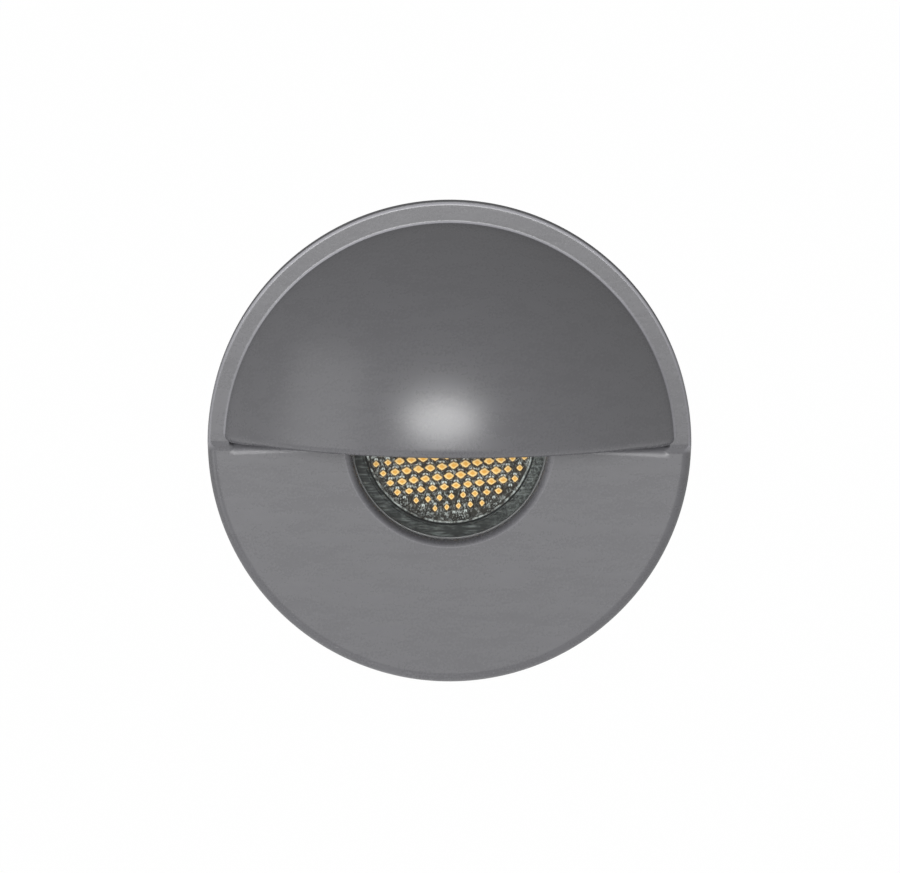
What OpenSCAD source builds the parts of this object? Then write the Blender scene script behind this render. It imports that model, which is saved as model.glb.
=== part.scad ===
// Recessed step light with a cast eyelid hood.
// The light looks along -Y, +X is to its right and +Z is up.
// The origin is the centre of the mounting plane, which is the back of the gasket.
// Radii and depths are in millimetres. "Depth" is measured forwards, out of the wall.

/* [Faceplate] */
// Diameter of the faceplate
face_d = 63.5; // [61:0.5:72]
// Thickness of the faceplate below the hood
plate_t = 3.2; // [2.8:0.1:4]
// Height of the raised rim beside the hood over the lower face
rim_raise = 0.5; // [0.3:0.1:0.8]
// Length of the slope from the raised rim down to the lower face
rim_slope_len = 1.5; // [1:0.1:3]
// Edge radius of the lower face
face_edge_r = 1.2; // [0.6:0.1:1.6]
// Edge radius of the raised rim
rim_edge_r = 0.5; // [0.3:0.1:0.8]

/* [Hood] */
// Width of the raised rim, from the edge of the faceplate to the hood
rim_w = 2.15; // [1.8:0.05:3]
// How far the hood stands out from the lower face
hood_rise = 14; // [11:0.5:18]
// Wall of the hood
hood_wall = 2; // [1.6:0.1:2.6]
// How far the hood's centre lies below the centre of the faceplate
hood_drop = 0.4; // [0:0.1:1]
// Downward slope of the lip, in degrees
lip_slope = 3; // [0:0.5:6]
// Fillet between the hood and the raised rim
hood_fillet = 0.5; // [0.3:0.1:1]
// Depth of the recess under the hood
recess_depth = 0.8; // [0.4:0.1:1.2]
// Height of the recess's lower edge at the middle, under the centre of the faceplate
recess_drop = 0.33; // [0.2:0.05:0.8]
// Radius of the slight arch of the recess's lower edge
recess_arch_r = 330; // [200:10:500]

/* [Lens hole and window] */
// Radius of the lens hole
hole_r = 12.9; // [12.2:0.1:13.2]
// Radius of the rounded edge of the lens hole
hole_edge_r = 1.05; // [0.5:0.05:1.3]
// Thickness of the lip that holds the window
lip_t = 1.8; // [1.5:0.1:2]
// Radius of the window
window_r = 14.2; // [13.9:0.1:14.3]
// Thickness of the window's gasket
window_gasket_t = 0.4; // [0.2:0.05:0.8]

/* [Optic] */
// Radius of the optic's rim
optic_rim_r = 11.2; // [11.1:0.1:11.4]
// Thickness of the optic's rim
optic_rim_t = 1.7; // [1.6:0.1:2]
// Height of the optic without its beads
optic_h = 11; // [10:0.5:12]
// Radius of the optic at its narrow end
optic_foot_r = 4.2; // [3.8:0.1:4.6]
// Radius of the field of beads
bead_field_r = 10.2; // [8.5:0.05:10.25]
// Distance between neighbouring beads
bead_pitch = 1.56; // [1.5:0.02:2.2]
// Radius of a bead where it leaves the face
bead_r = 0.74; // [0.6:0.01:0.74]
// Height of a bead
bead_h = 0.35; // [0.3:0.05:0.4]
// Turn of the rows of beads, in degrees
bead_turn = 6.7; // [0:0.1:30]
// Wall of the optic's holder at its base
holder_wall = 2; // [1.6:0.1:2.4]

/* [Light engine] */
// Radius of the board that carries the LED
led_board_r = 14.4; // [14:0.1:14.7]
// Thickness of that board
led_board_t = 1.6; // [1:0.1:2]
// Thickness of the thermal pad under it
pad_t = 0.5; // [0.3:0.1:1]
// Side of the square LED package
led_side = 3.5; // [3:0.1:3.8]
// Radius at which the board's screws sit
led_screw_at = 9.2; // [8.8:0.1:10]

/* [Housing] */
// Radius of the collar that fits the cut-out in the wall
collar_r = 22; // [21.9:0.1:23]
// Length of the collar
collar_len = 6; // [5:0.5:8]
// Outer radius of the barrel
barrel_r = 16.5; // [16.4:0.1:16.7]
// Inner radius of the barrel
bore_r = 15; // [14.9:0.05:15.2]
// Length of the housing behind the mounting plane
housing_len = 33; // [32:0.5:40]
// Thickness of the shelf that carries the light engine
shelf_t = 2.5; // [2:0.1:3.5]
// Number of cooling fins on the top, and again on the bottom
fin_count = 9; // [5:2:11]
// Height of a fin
fin_h = 1.6; // [1:0.1:2.2]
// Thickness of a fin
fin_t = 1.1; // [0.8:0.1:1.4]
// Radius at which the faceplate's screws sit
face_screw_at = 19.6; // [19.4:0.1:19.8]

/* [Driver] */
// Radius of the driver board
driver_board_r = 14.2; // [13.8:0.1:14.6]
// Thickness of the driver board
driver_board_t = 1.2; // [1:0.1:1.6]
// Height of the posts that carry the driver board
post_h = 4; // [3:0.5:6]
// Radius of the capacitor
capacitor_r = 3.2; // [2.5:0.1:3.4]
// Share of the driver's space that the capacitor's height takes
capacitor_share = 0.83; // [0.6:0.01:0.86]

/* [Rear cap and gland] */
// Thickness of the rear cap
cap_t = 2.5; // [2:0.1:4]
// Length of the cap's spigot in the barrel
cap_spigot_len = 3; // [2.8:0.1:3.4]
// Radius of the gland's thread
gland_thread_r = 5; // [4.6:0.1:5.4]
// Size of the gland across its flats
gland_flats = 14; // [13.5:0.5:16]
// Radius of the cable passage in the gland's seal
cable_bore_r = 2.6; // [2:0.1:2.8]

/* [Gasket] */
// Thickness of the mounting gasket
gasket_t = 1; // [0.8:0.1:2]
// Inner radius of the mounting gasket
gasket_in_r = 23.4; // [23.4:0.1:24.5]
// How far the gasket's outer edge stays inside the faceplate's
gasket_inset = 2.15; // [1.8:0.05:3.5]

/* [Spring clips] */
// Distance of the hinge pins from the centre
hinge_at = 19.3; // [19.2:0.05:19.4]
// Depth of the hinge pins behind the mounting plane
hinge_back = 10; // [9.8:0.1:12]
// Radius of the hinge pins
pin_r = 0.8; // [0.6:0.05:0.85]
// Length of a clip arm from its pin to its tip
arm_len = 11.3; // [10.8:0.1:11.6]
// Width of a clip arm
arm_w = 8.2; // [8:0.1:8.4]
// Thickness of a clip arm
arm_t = 0.8; // [0.6:0.1:0.9]
// Forward lean of the arms at rest, in degrees
arm_lean = 25; // [10:1:30]
// Diameter of the spring wire
wire_d = 0.6; // [0.5:0.05:0.6]
// Mean radius of the spring's coil
coil_r = 1.75; // [1.65:0.05:1.8]
// Advance of the coil in one turn
coil_pitch = 1.05; // [1.02:0.01:1.06]
// Whole turns of the coil, besides the part turn between its legs
coil_turns = 4; // [3:1:4]

/* [Hidden] */
$fn = 96;

// Clearances
slip = 0.05;
loose = 0.2;
// Overshoot of a shape that cuts, and overlap of shapes that make one piece
over = 1;
bond = 0.5;
// More than the size of the whole light
reach = 100;

// Depths of the faceplate, forwards from the mounting plane
face_r = face_d / 2;
back_f = gasket_t;
face_f = back_f + plate_t;
rim_f = face_f + rim_raise;
floor_f = face_f - recess_depth;
lip_back_f = face_f - lip_t;
land_r = collar_r - 0.5;
window_seat_r = window_r + loose;
rim_slope_top = -0.1;
back_chamfer = 0.3;

// The hood is a shell between two spheres. Its centre is found from its base and its rise.
hood_base_r = face_r - rim_w;
hood_h = hood_rise - rim_raise;
hood_r = (hood_base_r * hood_base_r + hood_h * hood_h) / (2 * hood_h);
hood_centre_f = rim_f + hood_h - hood_r;
hood_mid_r = hood_r - hood_wall / 2;
// Height of the lip plane over the hood's centre, square to that plane
lip_over_centre = (hood_drop + (face_f - hood_centre_f) * tan(lip_slope)) * cos(lip_slope);
lip_angle = asin((lip_over_centre + hood_wall / 2) / hood_mid_r);
recess_r = hood_base_r - 0.35 * hood_wall;
// How far the hood's wall goes down into the plate, under the floor of the recess
hood_root = 0.4;

// Window and optic
window_t = lip_back_f - window_gasket_t;
bead_gap = 0.05;
optic_y = bead_h + bead_gap;
optic_back_y = optic_y + optic_h;
led_gap = 0.2;
led_board_y = optic_back_y + led_gap;
pad_y = led_board_y + led_board_t;
shelf_y = pad_y + pad_t;
driver_y = shelf_y + shelf_t;
holder_r = window_r + 0.4;
holder_bore_r = optic_rim_r + 0.15;
holder_seat_y = optic_y + optic_rim_t;
holder_seat_r = optic_rim_r - 0.6;
holder_base_r = holder_r - holder_wall;

// Screws, as shank radius and head radius and head height
m2 = [1, 1.9, 1.4];
m25 = [1.25, 2.2, 1.6];
thread_grip = 0.02;
face_screw_depth = back_f + plate_t / 2;
// Clearance at a screw's tip, and metal left under a blind hole
tip_clear = 0.3;
blind = 0.5;
board_screw_angles = [0, 180];
face_screw_angles = [45, 135, 225, 315];
post_angles = [30, 150, 270];
post_at = 11.4;
post_r = 2;
cap_screw_angles = [90, 210, 330];
cap_screw_at = 17.6;
boss_r = 2.6;
boss_len = 7;
// Clear length between the heads of the faceplate's screws and the fins
fin_start = 1.2;
fin_spread = 100;

// Driver
board_y = driver_y + post_h;
board_back_y = board_y + driver_board_t;
lead_r = 0.55;
lead_at = 10.6;
lead_out = 0.3;
lead_angles = [100, 130];
// Space for the components, from the board to the inner end of the gland
gland_inner_len = 2;
driver_room = housing_len - gland_inner_len - board_back_y;
capacitor_h = driver_room * capacitor_share;
capacitor_x = -4.8;
capacitor_z = -5.6;
inductor_r = 3.2;
inductor_h = driver_room * 0.48;
inductor_x = 4.4;
inductor_z = 5.6;
// Terminal block, with its length along X, its height along Z and a screw for each of its two wires
block_len = 10;
block_w = 6.4;
block_h = driver_room * 0.73;
block_x = 0.4;
block_z = -9.2;
// Flat components
rectifier_len = 4.8;
rectifier_w = 4;
rectifier_t = 1.6;
rectifier_x = -11;
rectifier_z = -1;
chip_len = 4.9;
chip_w = 3.9;
chip_t = 1.5;
chip_x = -4.2;
chip_z = 1;

// Seals
oring_r = 0.5;
oring_at = 16.9;
cap_oring_at = bore_r - oring_r - slip;

// Rear cap
cap_y = housing_len + cap_t;
cap_spigot_r = bore_r - 0.15;
cap_spigot_in_r = 12.9;
cap_groove_y = housing_len - cap_spigot_len + 0.9;
gland_washer_t = 0.8;
gland_hex_len = 3;
gland_hex_y = cap_y + gland_washer_t;
gland_thread_len = 6;
gland_seal_len = 7;
gland_end_wall = 1.6;
gland_hex_r = gland_flats / 2 / cos(30);
gland_wall = 1.1;
cable_exit_r = cable_bore_r + 0.6;

// Gasket
gasket_out_r = face_r - gasket_inset;

// Clips
ear_t = 1.2;
ear_r = 1.6;
ear_z = arm_w / 2 + loose;
pin_head_r = 1.3;
pin_head_t = 0.6;
pin_clear = 0.02;
knuckle_r = 1.75;
knuckle_t = 1;
// The leaf lies beside the spring's leg
leaf_in = coil_r - wire_d / 2 - slip - arm_t;
leaf_start = 2.7;
arm_pad_len = 4;
arm_pad_wall = 0.7;
leg_len = 6.8;
coil_steps = 8;
wire_sides = 6;
// The coil turns clockwise from the housing's leg to the arm's leg
coil_sweep = 360 * coil_turns + 90 + arm_lean;
coil_len = coil_pitch * coil_sweep / 360;

// Turns what is drawn upwards, with its axis on Z, so that it looks out of the wall along -Y
module facing() {
  rotate([90, 0, 0]) children();
}

// Puts a turned profile at a depth behind the mounting plane, growing rearwards
module behind(y) {
  translate([0, y, 0]) rotate([-90, 0, 0]) children();
}

// Places copies round the axis at a radius, for the given angles
module round_axis(at, angles) {
  for (a = angles) {
    translate([at * cos(a), 0, at * sin(a)]) children();
  }
}

// Points of an arc in a profile
function arc(cx, cy, r, from, to, steps) =
  [for (i = [0:steps]) let (a = from + (to - from) * i / steps) [cx + r * cos(a), cy + r * sin(a)]];

// A round bar along Y, from one depth behind the mounting plane to another
module bar(r, y0, y1) {
  behind(y0) cylinder(r = r, h = y1 - y0);
}

// A ring along Y
module ring(outer, inner, y0, y1) {
  behind(y0) difference() {
    cylinder(r = outer, h = y1 - y0);
    translate([0, 0, -over]) cylinder(r = inner, h = y1 - y0 + 2 * over);
  }
}

// A round cord ring seal about the Y axis
module seal_ring(at, section_r, y) {
  behind(y) rotate_extrude() translate([at, 0]) circle(r = section_r, $fn = 32);
}

// A pan head screw whose shank points along -Y from its seat
module pan_screw(size, seat_y, shank_len) {
  head_edge = 0.4;
  drive_r = size[0] * 0.75;
  drive_depth = size[2] * 0.6;
  difference() {
    union() {
      bar(size[0] - thread_grip, seat_y - shank_len, seat_y + bond);
      behind(seat_y) rotate_extrude($fn = 48) polygon([
        [0, 0], [size[1], 0], [size[1], size[2] - head_edge],
        [size[1] - head_edge, size[2]], [0, size[2]]
      ]);
    }
    behind(seat_y + size[2] - drive_depth) cylinder(r = drive_r, h = drive_depth + over, $fn = 6);
  }
}

// The plate itself, as one turned profile with the lens hole and the window's seat
module plate_profile() {
  edge = arc(face_r - face_edge_r, face_f - face_edge_r, face_edge_r, 0, 90, 6);
  hole_edge = arc(hole_r + hole_edge_r, face_f - hole_edge_r, hole_edge_r, 90, 180, 6);
  polygon(concat(
    [[window_seat_r, 0], [land_r, 0], [land_r, back_f], [face_r - back_chamfer, back_f]],
    [[face_r, back_f + back_chamfer]],
    edge, hole_edge,
    [[hole_r, lip_back_f], [window_seat_r, lip_back_f]]
  ));
}

// The raised rim beside the hood, cut by a slope at both of its ends
module raised_rim() {
  inner = hood_base_r - hood_wall - over;
  edge = arc(face_r - rim_edge_r, rim_f - rim_edge_r, rim_edge_r, 0, 90, 5);
  intersection() {
    facing() rotate_extrude() polygon(concat(
      [[inner, back_f + over], [face_r, back_f + over]], edge, [[inner, rim_f]]
    ));
    translate([-reach / 2, 0, 0]) rotate([90, 0, 90]) linear_extrude(height = reach) polygon([
      [-back_f - bond, rim_slope_top - rim_slope_len],
      [-face_f, rim_slope_top - rim_slope_len],
      [-rim_f, rim_slope_top],
      [-rim_f - over, rim_slope_top],
      [-rim_f - over, reach],
      [-back_f - bond, reach]
    ]);
  }
}

// The shallow recess under the hood, with a slightly arched lower edge
module recess() {
  steps = 5;
  facing() translate([0, 0, floor_f]) linear_extrude(height = rim_raise + recess_depth + over)
    intersection() {
      translate([0, -hood_drop]) circle(r = recess_r);
      polygon(concat(
        [for (i = [-steps - 1:steps + 1]) let (x = recess_r * i / steps)
          [x, -recess_drop - x * x / (2 * recess_arch_r)]],
        [[reach / 2, reach], [-reach / 2, reach]]
      ));
    }
}

// Section of the hood's shell, from its rounded lip up to its crown
module hood_section() {
  // The lip's round is a hair smaller than the wall, so that it meets the wall's surfaces cleanly
  round_r = hood_wall / 2 - 0.01;
  intersection() {
    difference() {
      circle(r = hood_r);
      circle(r = hood_r - hood_wall);
    }
    polygon([[0, 0], [reach * cos(lip_angle), reach * sin(lip_angle)], [reach, reach], [0, reach]]);
  }
  translate([hood_mid_r * cos(lip_angle), hood_mid_r * sin(lip_angle)]) circle(r = round_r);
}

// The hood's shell, down to just under the floor of the recess
module hood() {
  intersection() {
    facing() translate([0, -hood_drop, hood_centre_f]) rotate([lip_slope - 90, 0, 0])
      rotate_extrude($fn = 128) hood_section();
    translate([-reach / 2, -floor_f + hood_root - reach, -reach / 2]) cube(reach);
  }
}

// Fillet between the hood and the raised rim, as a half turn about the hood's own centre.
// It starts a little inside the hood's wall, so that it crosses the wall's surface cleanly.
module hood_base_fillet() {
  fillet_f = rim_f + hood_fillet;
  span = hood_r + hood_fillet;
  up = fillet_f - hood_centre_f;
  fillet_at = sqrt(span * span - up * up);
  lean = atan2(up, fillet_at);
  start = hood_fillet + 0.3;
  start_turn = 8;
  foot = 0.2;
  foot_w = 1.3;
  facing() translate([0, -hood_drop, 0]) rotate_extrude(angle = 180) polygon(concat(
    [[fillet_at - start * cos(lean), fillet_f - start * sin(lean)]],
    arc(fillet_at, fillet_f, hood_fillet, 180 + lean + start_turn, 270, 3),
    [[fillet_at, rim_f - foot], [fillet_at - foot_w, rim_f - foot]]
  ));
}

module faceplate() {
  color([0.50, 0.50, 0.52]) difference() {
    union() {
      difference() {
        union() {
          facing() rotate_extrude() plate_profile();
          raised_rim();
        }
        recess();
      }
      hood();
      hood_base_fillet();
    }
    round_axis(face_screw_at, face_screw_angles) bar(m25[0], -face_screw_depth, over);
  }
}

module window() {
  edge = 0.25;
  color([0.85, 0.9, 0.92, 0.4]) facing() rotate_extrude() polygon([
    [0, 0], [window_r - edge, 0], [window_r, edge], [window_r, window_t - edge],
    [window_r - edge, window_t], [0, window_t]
  ]);
}

module window_gasket() {
  color([0.12, 0.12, 0.12]) ring(window_r, hole_r, -lip_back_f, -window_t);
}

module optic_holder() {
  mouth = 0.4;
  shoulder = 1;
  color([0.07, 0.07, 0.08]) behind(0) rotate_extrude() polygon([
    [holder_bore_r + mouth, 0], [holder_r, 0], [holder_r, led_board_y],
    [holder_base_r, led_board_y], [holder_base_r, holder_seat_y + 2 * shoulder],
    [holder_seat_r, holder_seat_y + shoulder], [holder_seat_r, holder_seat_y],
    [holder_bore_r, holder_seat_y], [holder_bore_r, mouth]
  ]);
}

// Centres of the beads, on a turned hexagonal lattice, whole beads only
bead_edge = 0.15;
// Where the lattice stands over the optic's centre, as shares of a bead's and of a row's distance
bead_shift = [0.6, 0.41];
bead_rows = ceil(2 * bead_field_r / (bead_pitch * sqrt(3))) + 1;
bead_cols = ceil(bead_field_r / bead_pitch) + 2;
bead_centres = [
  for (j = [-bead_rows:bead_rows])
    for (i = [-bead_cols:bead_cols])
      let (
        u = bead_pitch * (i + bead_shift[0] + (j % 2 == 0 ? 0 : 0.5)),
        v = bead_pitch * (j + bead_shift[1]) * sqrt(3) / 2
      )
        if (sqrt(u * u + v * v) < bead_field_r - bead_edge)
          [u * cos(bead_turn) - v * sin(bead_turn), u * sin(bead_turn) + v * cos(bead_turn)]
];
bead_sphere_r = (bead_r * bead_r + bead_h * bead_h) / (2 * bead_h);

module beaded_optic() {
  steps = 7;
  flare = 0.62;
  side_r = holder_seat_r - 0.3;
  side = [for (i = [0:steps]) let (t = i / steps)
    [side_r + (optic_foot_r - side_r) * t, optic_rim_t + (optic_h - optic_rim_t) * (1 - pow(1 - t, flare))]];
  // The cup over the LED
  cup_r = led_side / 2 + 1.1;
  cup_depth = 4.5;
  cup_taper = 0.3;
  cup_cone = 1;
  color([0.9, 0.75, 0.5]) {
    behind(optic_y) rotate_extrude() polygon(concat(
      [[0, 0], [optic_rim_r, 0], [optic_rim_r, optic_rim_t]],
      side,
      [[cup_r, optic_h], [cup_r - cup_taper, optic_h - cup_depth + cup_cone], [0, optic_h - cup_depth]]
    ));
    for (c = bead_centres) {
      translate([c[0], optic_y + bead_sphere_r - bead_h, c[1]]) sphere(r = bead_sphere_r, $fn = 24);
    }
  }
}

module led_package() {
  base_t = 0.7;
  dome_share = 0.42;
  dome_r = led_side * dome_share;
  color([0.95, 0.8, 0.2]) {
    translate([-led_side / 2, led_board_y - base_t, -led_side / 2]) cube([led_side, base_t, led_side]);
    difference() {
      translate([0, led_board_y - base_t, 0]) sphere(r = dome_r, $fn = 48);
      translate([-led_side, led_board_y - base_t / 2, -led_side]) cube(2 * led_side);
    }
  }
}

module led_board() {
  color([0.92, 0.92, 0.9]) difference() {
    bar(led_board_r, led_board_y, pad_y);
    round_axis(led_screw_at, board_screw_angles) bar(m2[0] + loose, led_board_y - over, pad_y + over);
    round_axis(lead_at, lead_angles) bar(lead_r + slip, led_board_y - over, pad_y + over);
  }
}

module led_board_screws() {
  color([0.8, 0.8, 0.78]) round_axis(led_screw_at, board_screw_angles)
    translate([0, led_board_y, 0]) rotate([180, 0, 0]) pan_screw(m2, 0, driver_y - led_board_y - tip_clear);
}

module thermal_pad() {
  pad_inset = 0.8;
  color([0.6, 0.65, 0.75]) difference() {
    bar(led_board_r - pad_inset, pad_y, shelf_y);
    round_axis(led_screw_at, board_screw_angles) bar(m2[0] + loose, pad_y - over, shelf_y + over);
    round_axis(lead_at, lead_angles) bar(lead_r + loose, pad_y - over, shelf_y + over);
  }
}

// Ear that holds one end of a hinge pin, drawn in the plane square to the pin
module ear_outline() {
  root = barrel_r - ear_r;
  // The flats stand a little inside the round end
  flat_r = ear_r - 0.1;
  translate([root, collar_len - bond]) square([hinge_at + flat_r - root, hinge_back - collar_len + bond]);
  translate([root, collar_len - bond]) square([hinge_at - root, hinge_back + flat_r - collar_len + bond]);
  translate([hinge_at, hinge_back]) circle(r = ear_r, $fn = 48);
}

module hinge_ears() {
  for (side = [0, 1]) {
    mirror([side, 0, 0]) for (z = [ear_z, -ear_z - ear_t]) {
      translate([0, 0, z]) difference() {
        linear_extrude(height = ear_t) ear_outline();
        translate([hinge_at, hinge_back, -over])
          cylinder(r = pin_r + pin_clear, h = ear_t + 2 * over, $fn = 48);
      }
    }
  }
}

module housing() {
  fin_from = collar_len + m25[2] + fin_start;
  fin_to = housing_len - boss_len;
  color([0.62, 0.62, 0.64]) difference() {
    union() {
      behind(0) rotate_extrude() polygon([
        [bore_r, 0], [collar_r, 0], [collar_r, collar_len], [barrel_r, collar_len],
        [barrel_r, housing_len], [bore_r, housing_len], [bore_r, driver_y], [0, driver_y],
        [0, shelf_y], [bore_r, shelf_y]
      ]);
      for (half = [90, 270]) {
        for (i = [0:fin_count - 1]) {
          a = half - fin_spread / 2 + fin_spread * i / (fin_count - 1);
          rotate([0, -a, 0]) translate([barrel_r - bond, fin_from, -fin_t / 2])
            cube([fin_h + bond, fin_to - fin_from, fin_t]);
        }
      }
      round_axis(cap_screw_at, cap_screw_angles) bar(boss_r, housing_len - boss_len, housing_len);
      round_axis(post_at, post_angles) bar(post_r, driver_y - bond, board_y);
      hinge_ears();
    }
    // Bore again, where the bosses reach into it
    bar(bore_r, board_y, housing_len + over);
    round_axis(face_screw_at, face_screw_angles) bar(m25[0] + loose, -over, collar_len + over);
    round_axis(cap_screw_at, cap_screw_angles)
      bar(m2[0], housing_len - boss_len + 2 * blind, housing_len + over);
    round_axis(post_at, post_angles) bar(m2[0], driver_y + blind, board_y + over);
    round_axis(led_screw_at, board_screw_angles) bar(m2[0], shelf_y - over, driver_y + over);
    round_axis(lead_at, lead_angles) bar(lead_r + loose, shelf_y - over, driver_y + over);
    // Groove of the front seal
    ring(oring_at + oring_r + slip, oring_at - oring_r - slip, -over, 2 * oring_r + slip);
  }
}

module housing_oring() {
  color([0.15, 0.15, 0.15]) seal_ring(oring_at, oring_r, oring_r + slip);
}

module faceplate_screws() {
  color([0.8, 0.8, 0.78]) round_axis(face_screw_at, face_screw_angles)
    pan_screw(m25, collar_len, collar_len + face_screw_depth - tip_clear);
}

module lead(a) {
  round_axis(lead_at, [a]) bar(lead_r, led_board_y - lead_out, board_y);
}

module lead_red() {
  color([0.75, 0.1, 0.08]) lead(lead_angles[0]);
}

module lead_black() {
  color([0.08, 0.08, 0.08]) lead(lead_angles[1]);
}

module driver_board() {
  color([0.1, 0.4, 0.2]) difference() {
    bar(driver_board_r, board_y, board_back_y);
    round_axis(post_at, post_angles) bar(m2[0] + loose, board_y - over, board_back_y + over);
  }
}

module driver_board_screws() {
  color([0.8, 0.8, 0.78]) round_axis(post_at, post_angles)
    pan_screw(m2, board_back_y, driver_board_t + post_h - 2 * blind);
}

module rectifier() {
  color([0.1, 0.1, 0.1]) translate([rectifier_x, board_back_y, rectifier_z])
    cube([rectifier_len, rectifier_t, rectifier_w]);
}

module driver_chip() {
  color([0.1, 0.1, 0.1]) translate([chip_x, board_back_y, chip_z]) cube([chip_len, chip_t, chip_w]);
}

module inductor() {
  flange = inductor_h / 6;
  waist_r = inductor_r - 0.7;
  color([0.25, 0.25, 0.27]) translate([inductor_x, 0, inductor_z]) behind(board_back_y)
    rotate_extrude($fn = 48) polygon([
      [0, 0], [inductor_r, 0], [inductor_r, flange], [waist_r, flange],
      [waist_r, inductor_h - flange], [inductor_r, inductor_h - flange],
      [inductor_r, inductor_h], [0, inductor_h]
    ]);
}

module capacitor() {
  groove_h = capacitor_h * 0.15;
  edge = 0.3;
  color([0.1, 0.15, 0.35]) translate([capacitor_x, 0, capacitor_z]) behind(board_back_y)
    rotate_extrude($fn = 48) polygon([
      [0, 0], [capacitor_r, 0], [capacitor_r, groove_h], [capacitor_r - edge, groove_h + edge],
      [capacitor_r, groove_h + 2 * edge], [capacitor_r, capacitor_h - edge],
      [capacitor_r - edge, capacitor_h], [0, capacitor_h]
    ]);
}

module terminal_block() {
  pitch = block_len / 2;
  screw_hole_r = block_len * 0.15;
  entry_r = block_len * 0.16;
  entry_depth = block_h * 0.2;
  color([0.15, 0.45, 0.2]) difference() {
    translate([block_x, board_back_y, block_z]) cube([block_len, block_h, block_w]);
    for (i = [0, 1]) {
      translate([block_x + pitch * (i + 0.5), 0, block_z]) {
        translate([0, board_back_y + block_h * 0.45, block_w * 0.62])
          cylinder(r = screw_hole_r, h = block_w, $fn = 32);
        translate([0, 0, block_w / 2])
          bar(entry_r, board_back_y + block_h - entry_depth, board_back_y + block_h + over);
      }
    }
  }
}

module rear_cap() {
  thread_wall = 2;
  color([0.60, 0.60, 0.62]) difference() {
    union() {
      bar(barrel_r, housing_len, cap_y);
      round_axis(cap_screw_at, cap_screw_angles) bar(boss_r, housing_len, cap_y);
      ring(cap_spigot_r, cap_spigot_in_r, housing_len - cap_spigot_len, housing_len + bond);
      bar(gland_thread_r + thread_wall, housing_len - gland_inner_len, housing_len + bond);
    }
    round_axis(cap_screw_at, cap_screw_angles) bar(m2[0] + loose, housing_len - over, cap_y + over);
    bar(gland_thread_r, housing_len - gland_inner_len - over, cap_y + over);
    ring(bore_r + over, cap_oring_at - oring_r - slip, cap_groove_y, cap_groove_y + 2 * (oring_r + slip));
  }
}

module rear_cap_oring() {
  color([0.15, 0.15, 0.15]) seal_ring(cap_oring_at, oring_r, cap_groove_y + oring_r + slip);
}

module rear_cap_screws() {
  color([0.8, 0.8, 0.78]) round_axis(cap_screw_at, cap_screw_angles)
    pan_screw(m2, cap_y, cap_t + boss_len - 4 * blind);
}

module gland_body() {
  bore = gland_thread_r - gland_wall;
  cable_clear = 0.4;
  thread_end = gland_hex_y + gland_hex_len + gland_thread_len;
  color([0.11, 0.11, 0.12]) difference() {
    union() {
      bar(gland_thread_r - slip, housing_len - gland_inner_len, gland_hex_y + bond);
      behind(gland_hex_y) rotate([0, 0, 30]) cylinder(r = gland_hex_r, h = gland_hex_len, $fn = 6);
      bar(gland_thread_r, gland_hex_y + bond, thread_end);
    }
    bar(cable_bore_r + cable_clear, housing_len - gland_inner_len - over, thread_end + over);
    bar(bore, thread_end - gland_seal_len + gland_end_wall, thread_end + over);
  }
}

module gland_oring() {
  washer_w = 1.3;
  color([0.15, 0.15, 0.15]) ring(gland_thread_r + washer_w, gland_thread_r, cap_y, gland_hex_y);
}

module gland_seal() {
  seal_back = gland_hex_y + gland_hex_len + gland_thread_len + gland_end_wall - loose;
  color([0.13, 0.13, 0.13])
    ring(gland_thread_r - gland_wall - slip, cable_bore_r, seal_back - gland_seal_len + loose, seal_back);
}

module gland_nut() {
  nut_y = gland_hex_y + gland_hex_len + loose;
  nut_end = gland_hex_y + gland_hex_len + gland_thread_len + 2 * gland_end_wall;
  nut_len = nut_end - nut_y;
  dome = 2.4;
  color([0.11, 0.11, 0.12]) difference() {
    intersection() {
      behind(nut_y) rotate([0, 0, 30]) cylinder(r = gland_hex_r, h = nut_len, $fn = 6);
      behind(nut_y) rotate_extrude($fn = 64) polygon(concat(
        [[0, 0], [gland_hex_r + over, 0], [gland_hex_r + over, nut_len - dome - over]],
        arc(gland_flats / 2 - dome, nut_len - dome, dome, 10, 90, 6),
        [[0, nut_len]]
      ));
    }
    bar(gland_thread_r + slip, nut_y - over, nut_end - gland_end_wall);
    bar(cable_exit_r, nut_y, nut_end + over);
  }
}

module mounting_gasket() {
  color([0.1, 0.1, 0.1]) ring(gasket_out_r, gasket_in_r, -gasket_t, 0);
}

// Puts what is drawn along +X from the pin onto the right hinge, leaning forwards
module on_hinge() {
  translate([hinge_at, hinge_back, 0]) rotate([0, 0, -arm_lean]) children();
}

// A sprung arm: two knuckles on the pin that carry a leaf
module clip_arm() {
  // The web between a knuckle and the leaf
  web = 0.8;
  web_len = 1.5;
  // A round hole through the leaf
  hole_at = 5;
  leaf_hole_r = 1;
  leaf_hole_z = -1.2;
  color([0.72, 0.72, 0.72]) on_hinge() difference() {
    union() {
      for (z = [arm_w / 2 - knuckle_t, -arm_w / 2]) {
        translate([0, 0, z]) linear_extrude(height = knuckle_t) {
          circle(r = knuckle_r, $fn = 48);
          translate([0, leaf_in - web]) square([leaf_start + web_len, arm_t + web]);
        }
      }
      translate([leaf_start, leaf_in, -arm_w / 2]) cube([arm_len - leaf_start, arm_t, arm_w]);
    }
    translate([0, 0, -arm_w]) cylinder(r = pin_r + slip, h = 2 * arm_w, $fn = 48);
    translate([hole_at, leaf_in - over, leaf_hole_z]) rotate([-90, 0, 0])
      cylinder(r = leaf_hole_r, h = arm_t + 2 * over, $fn = 32);
  }
}

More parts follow.
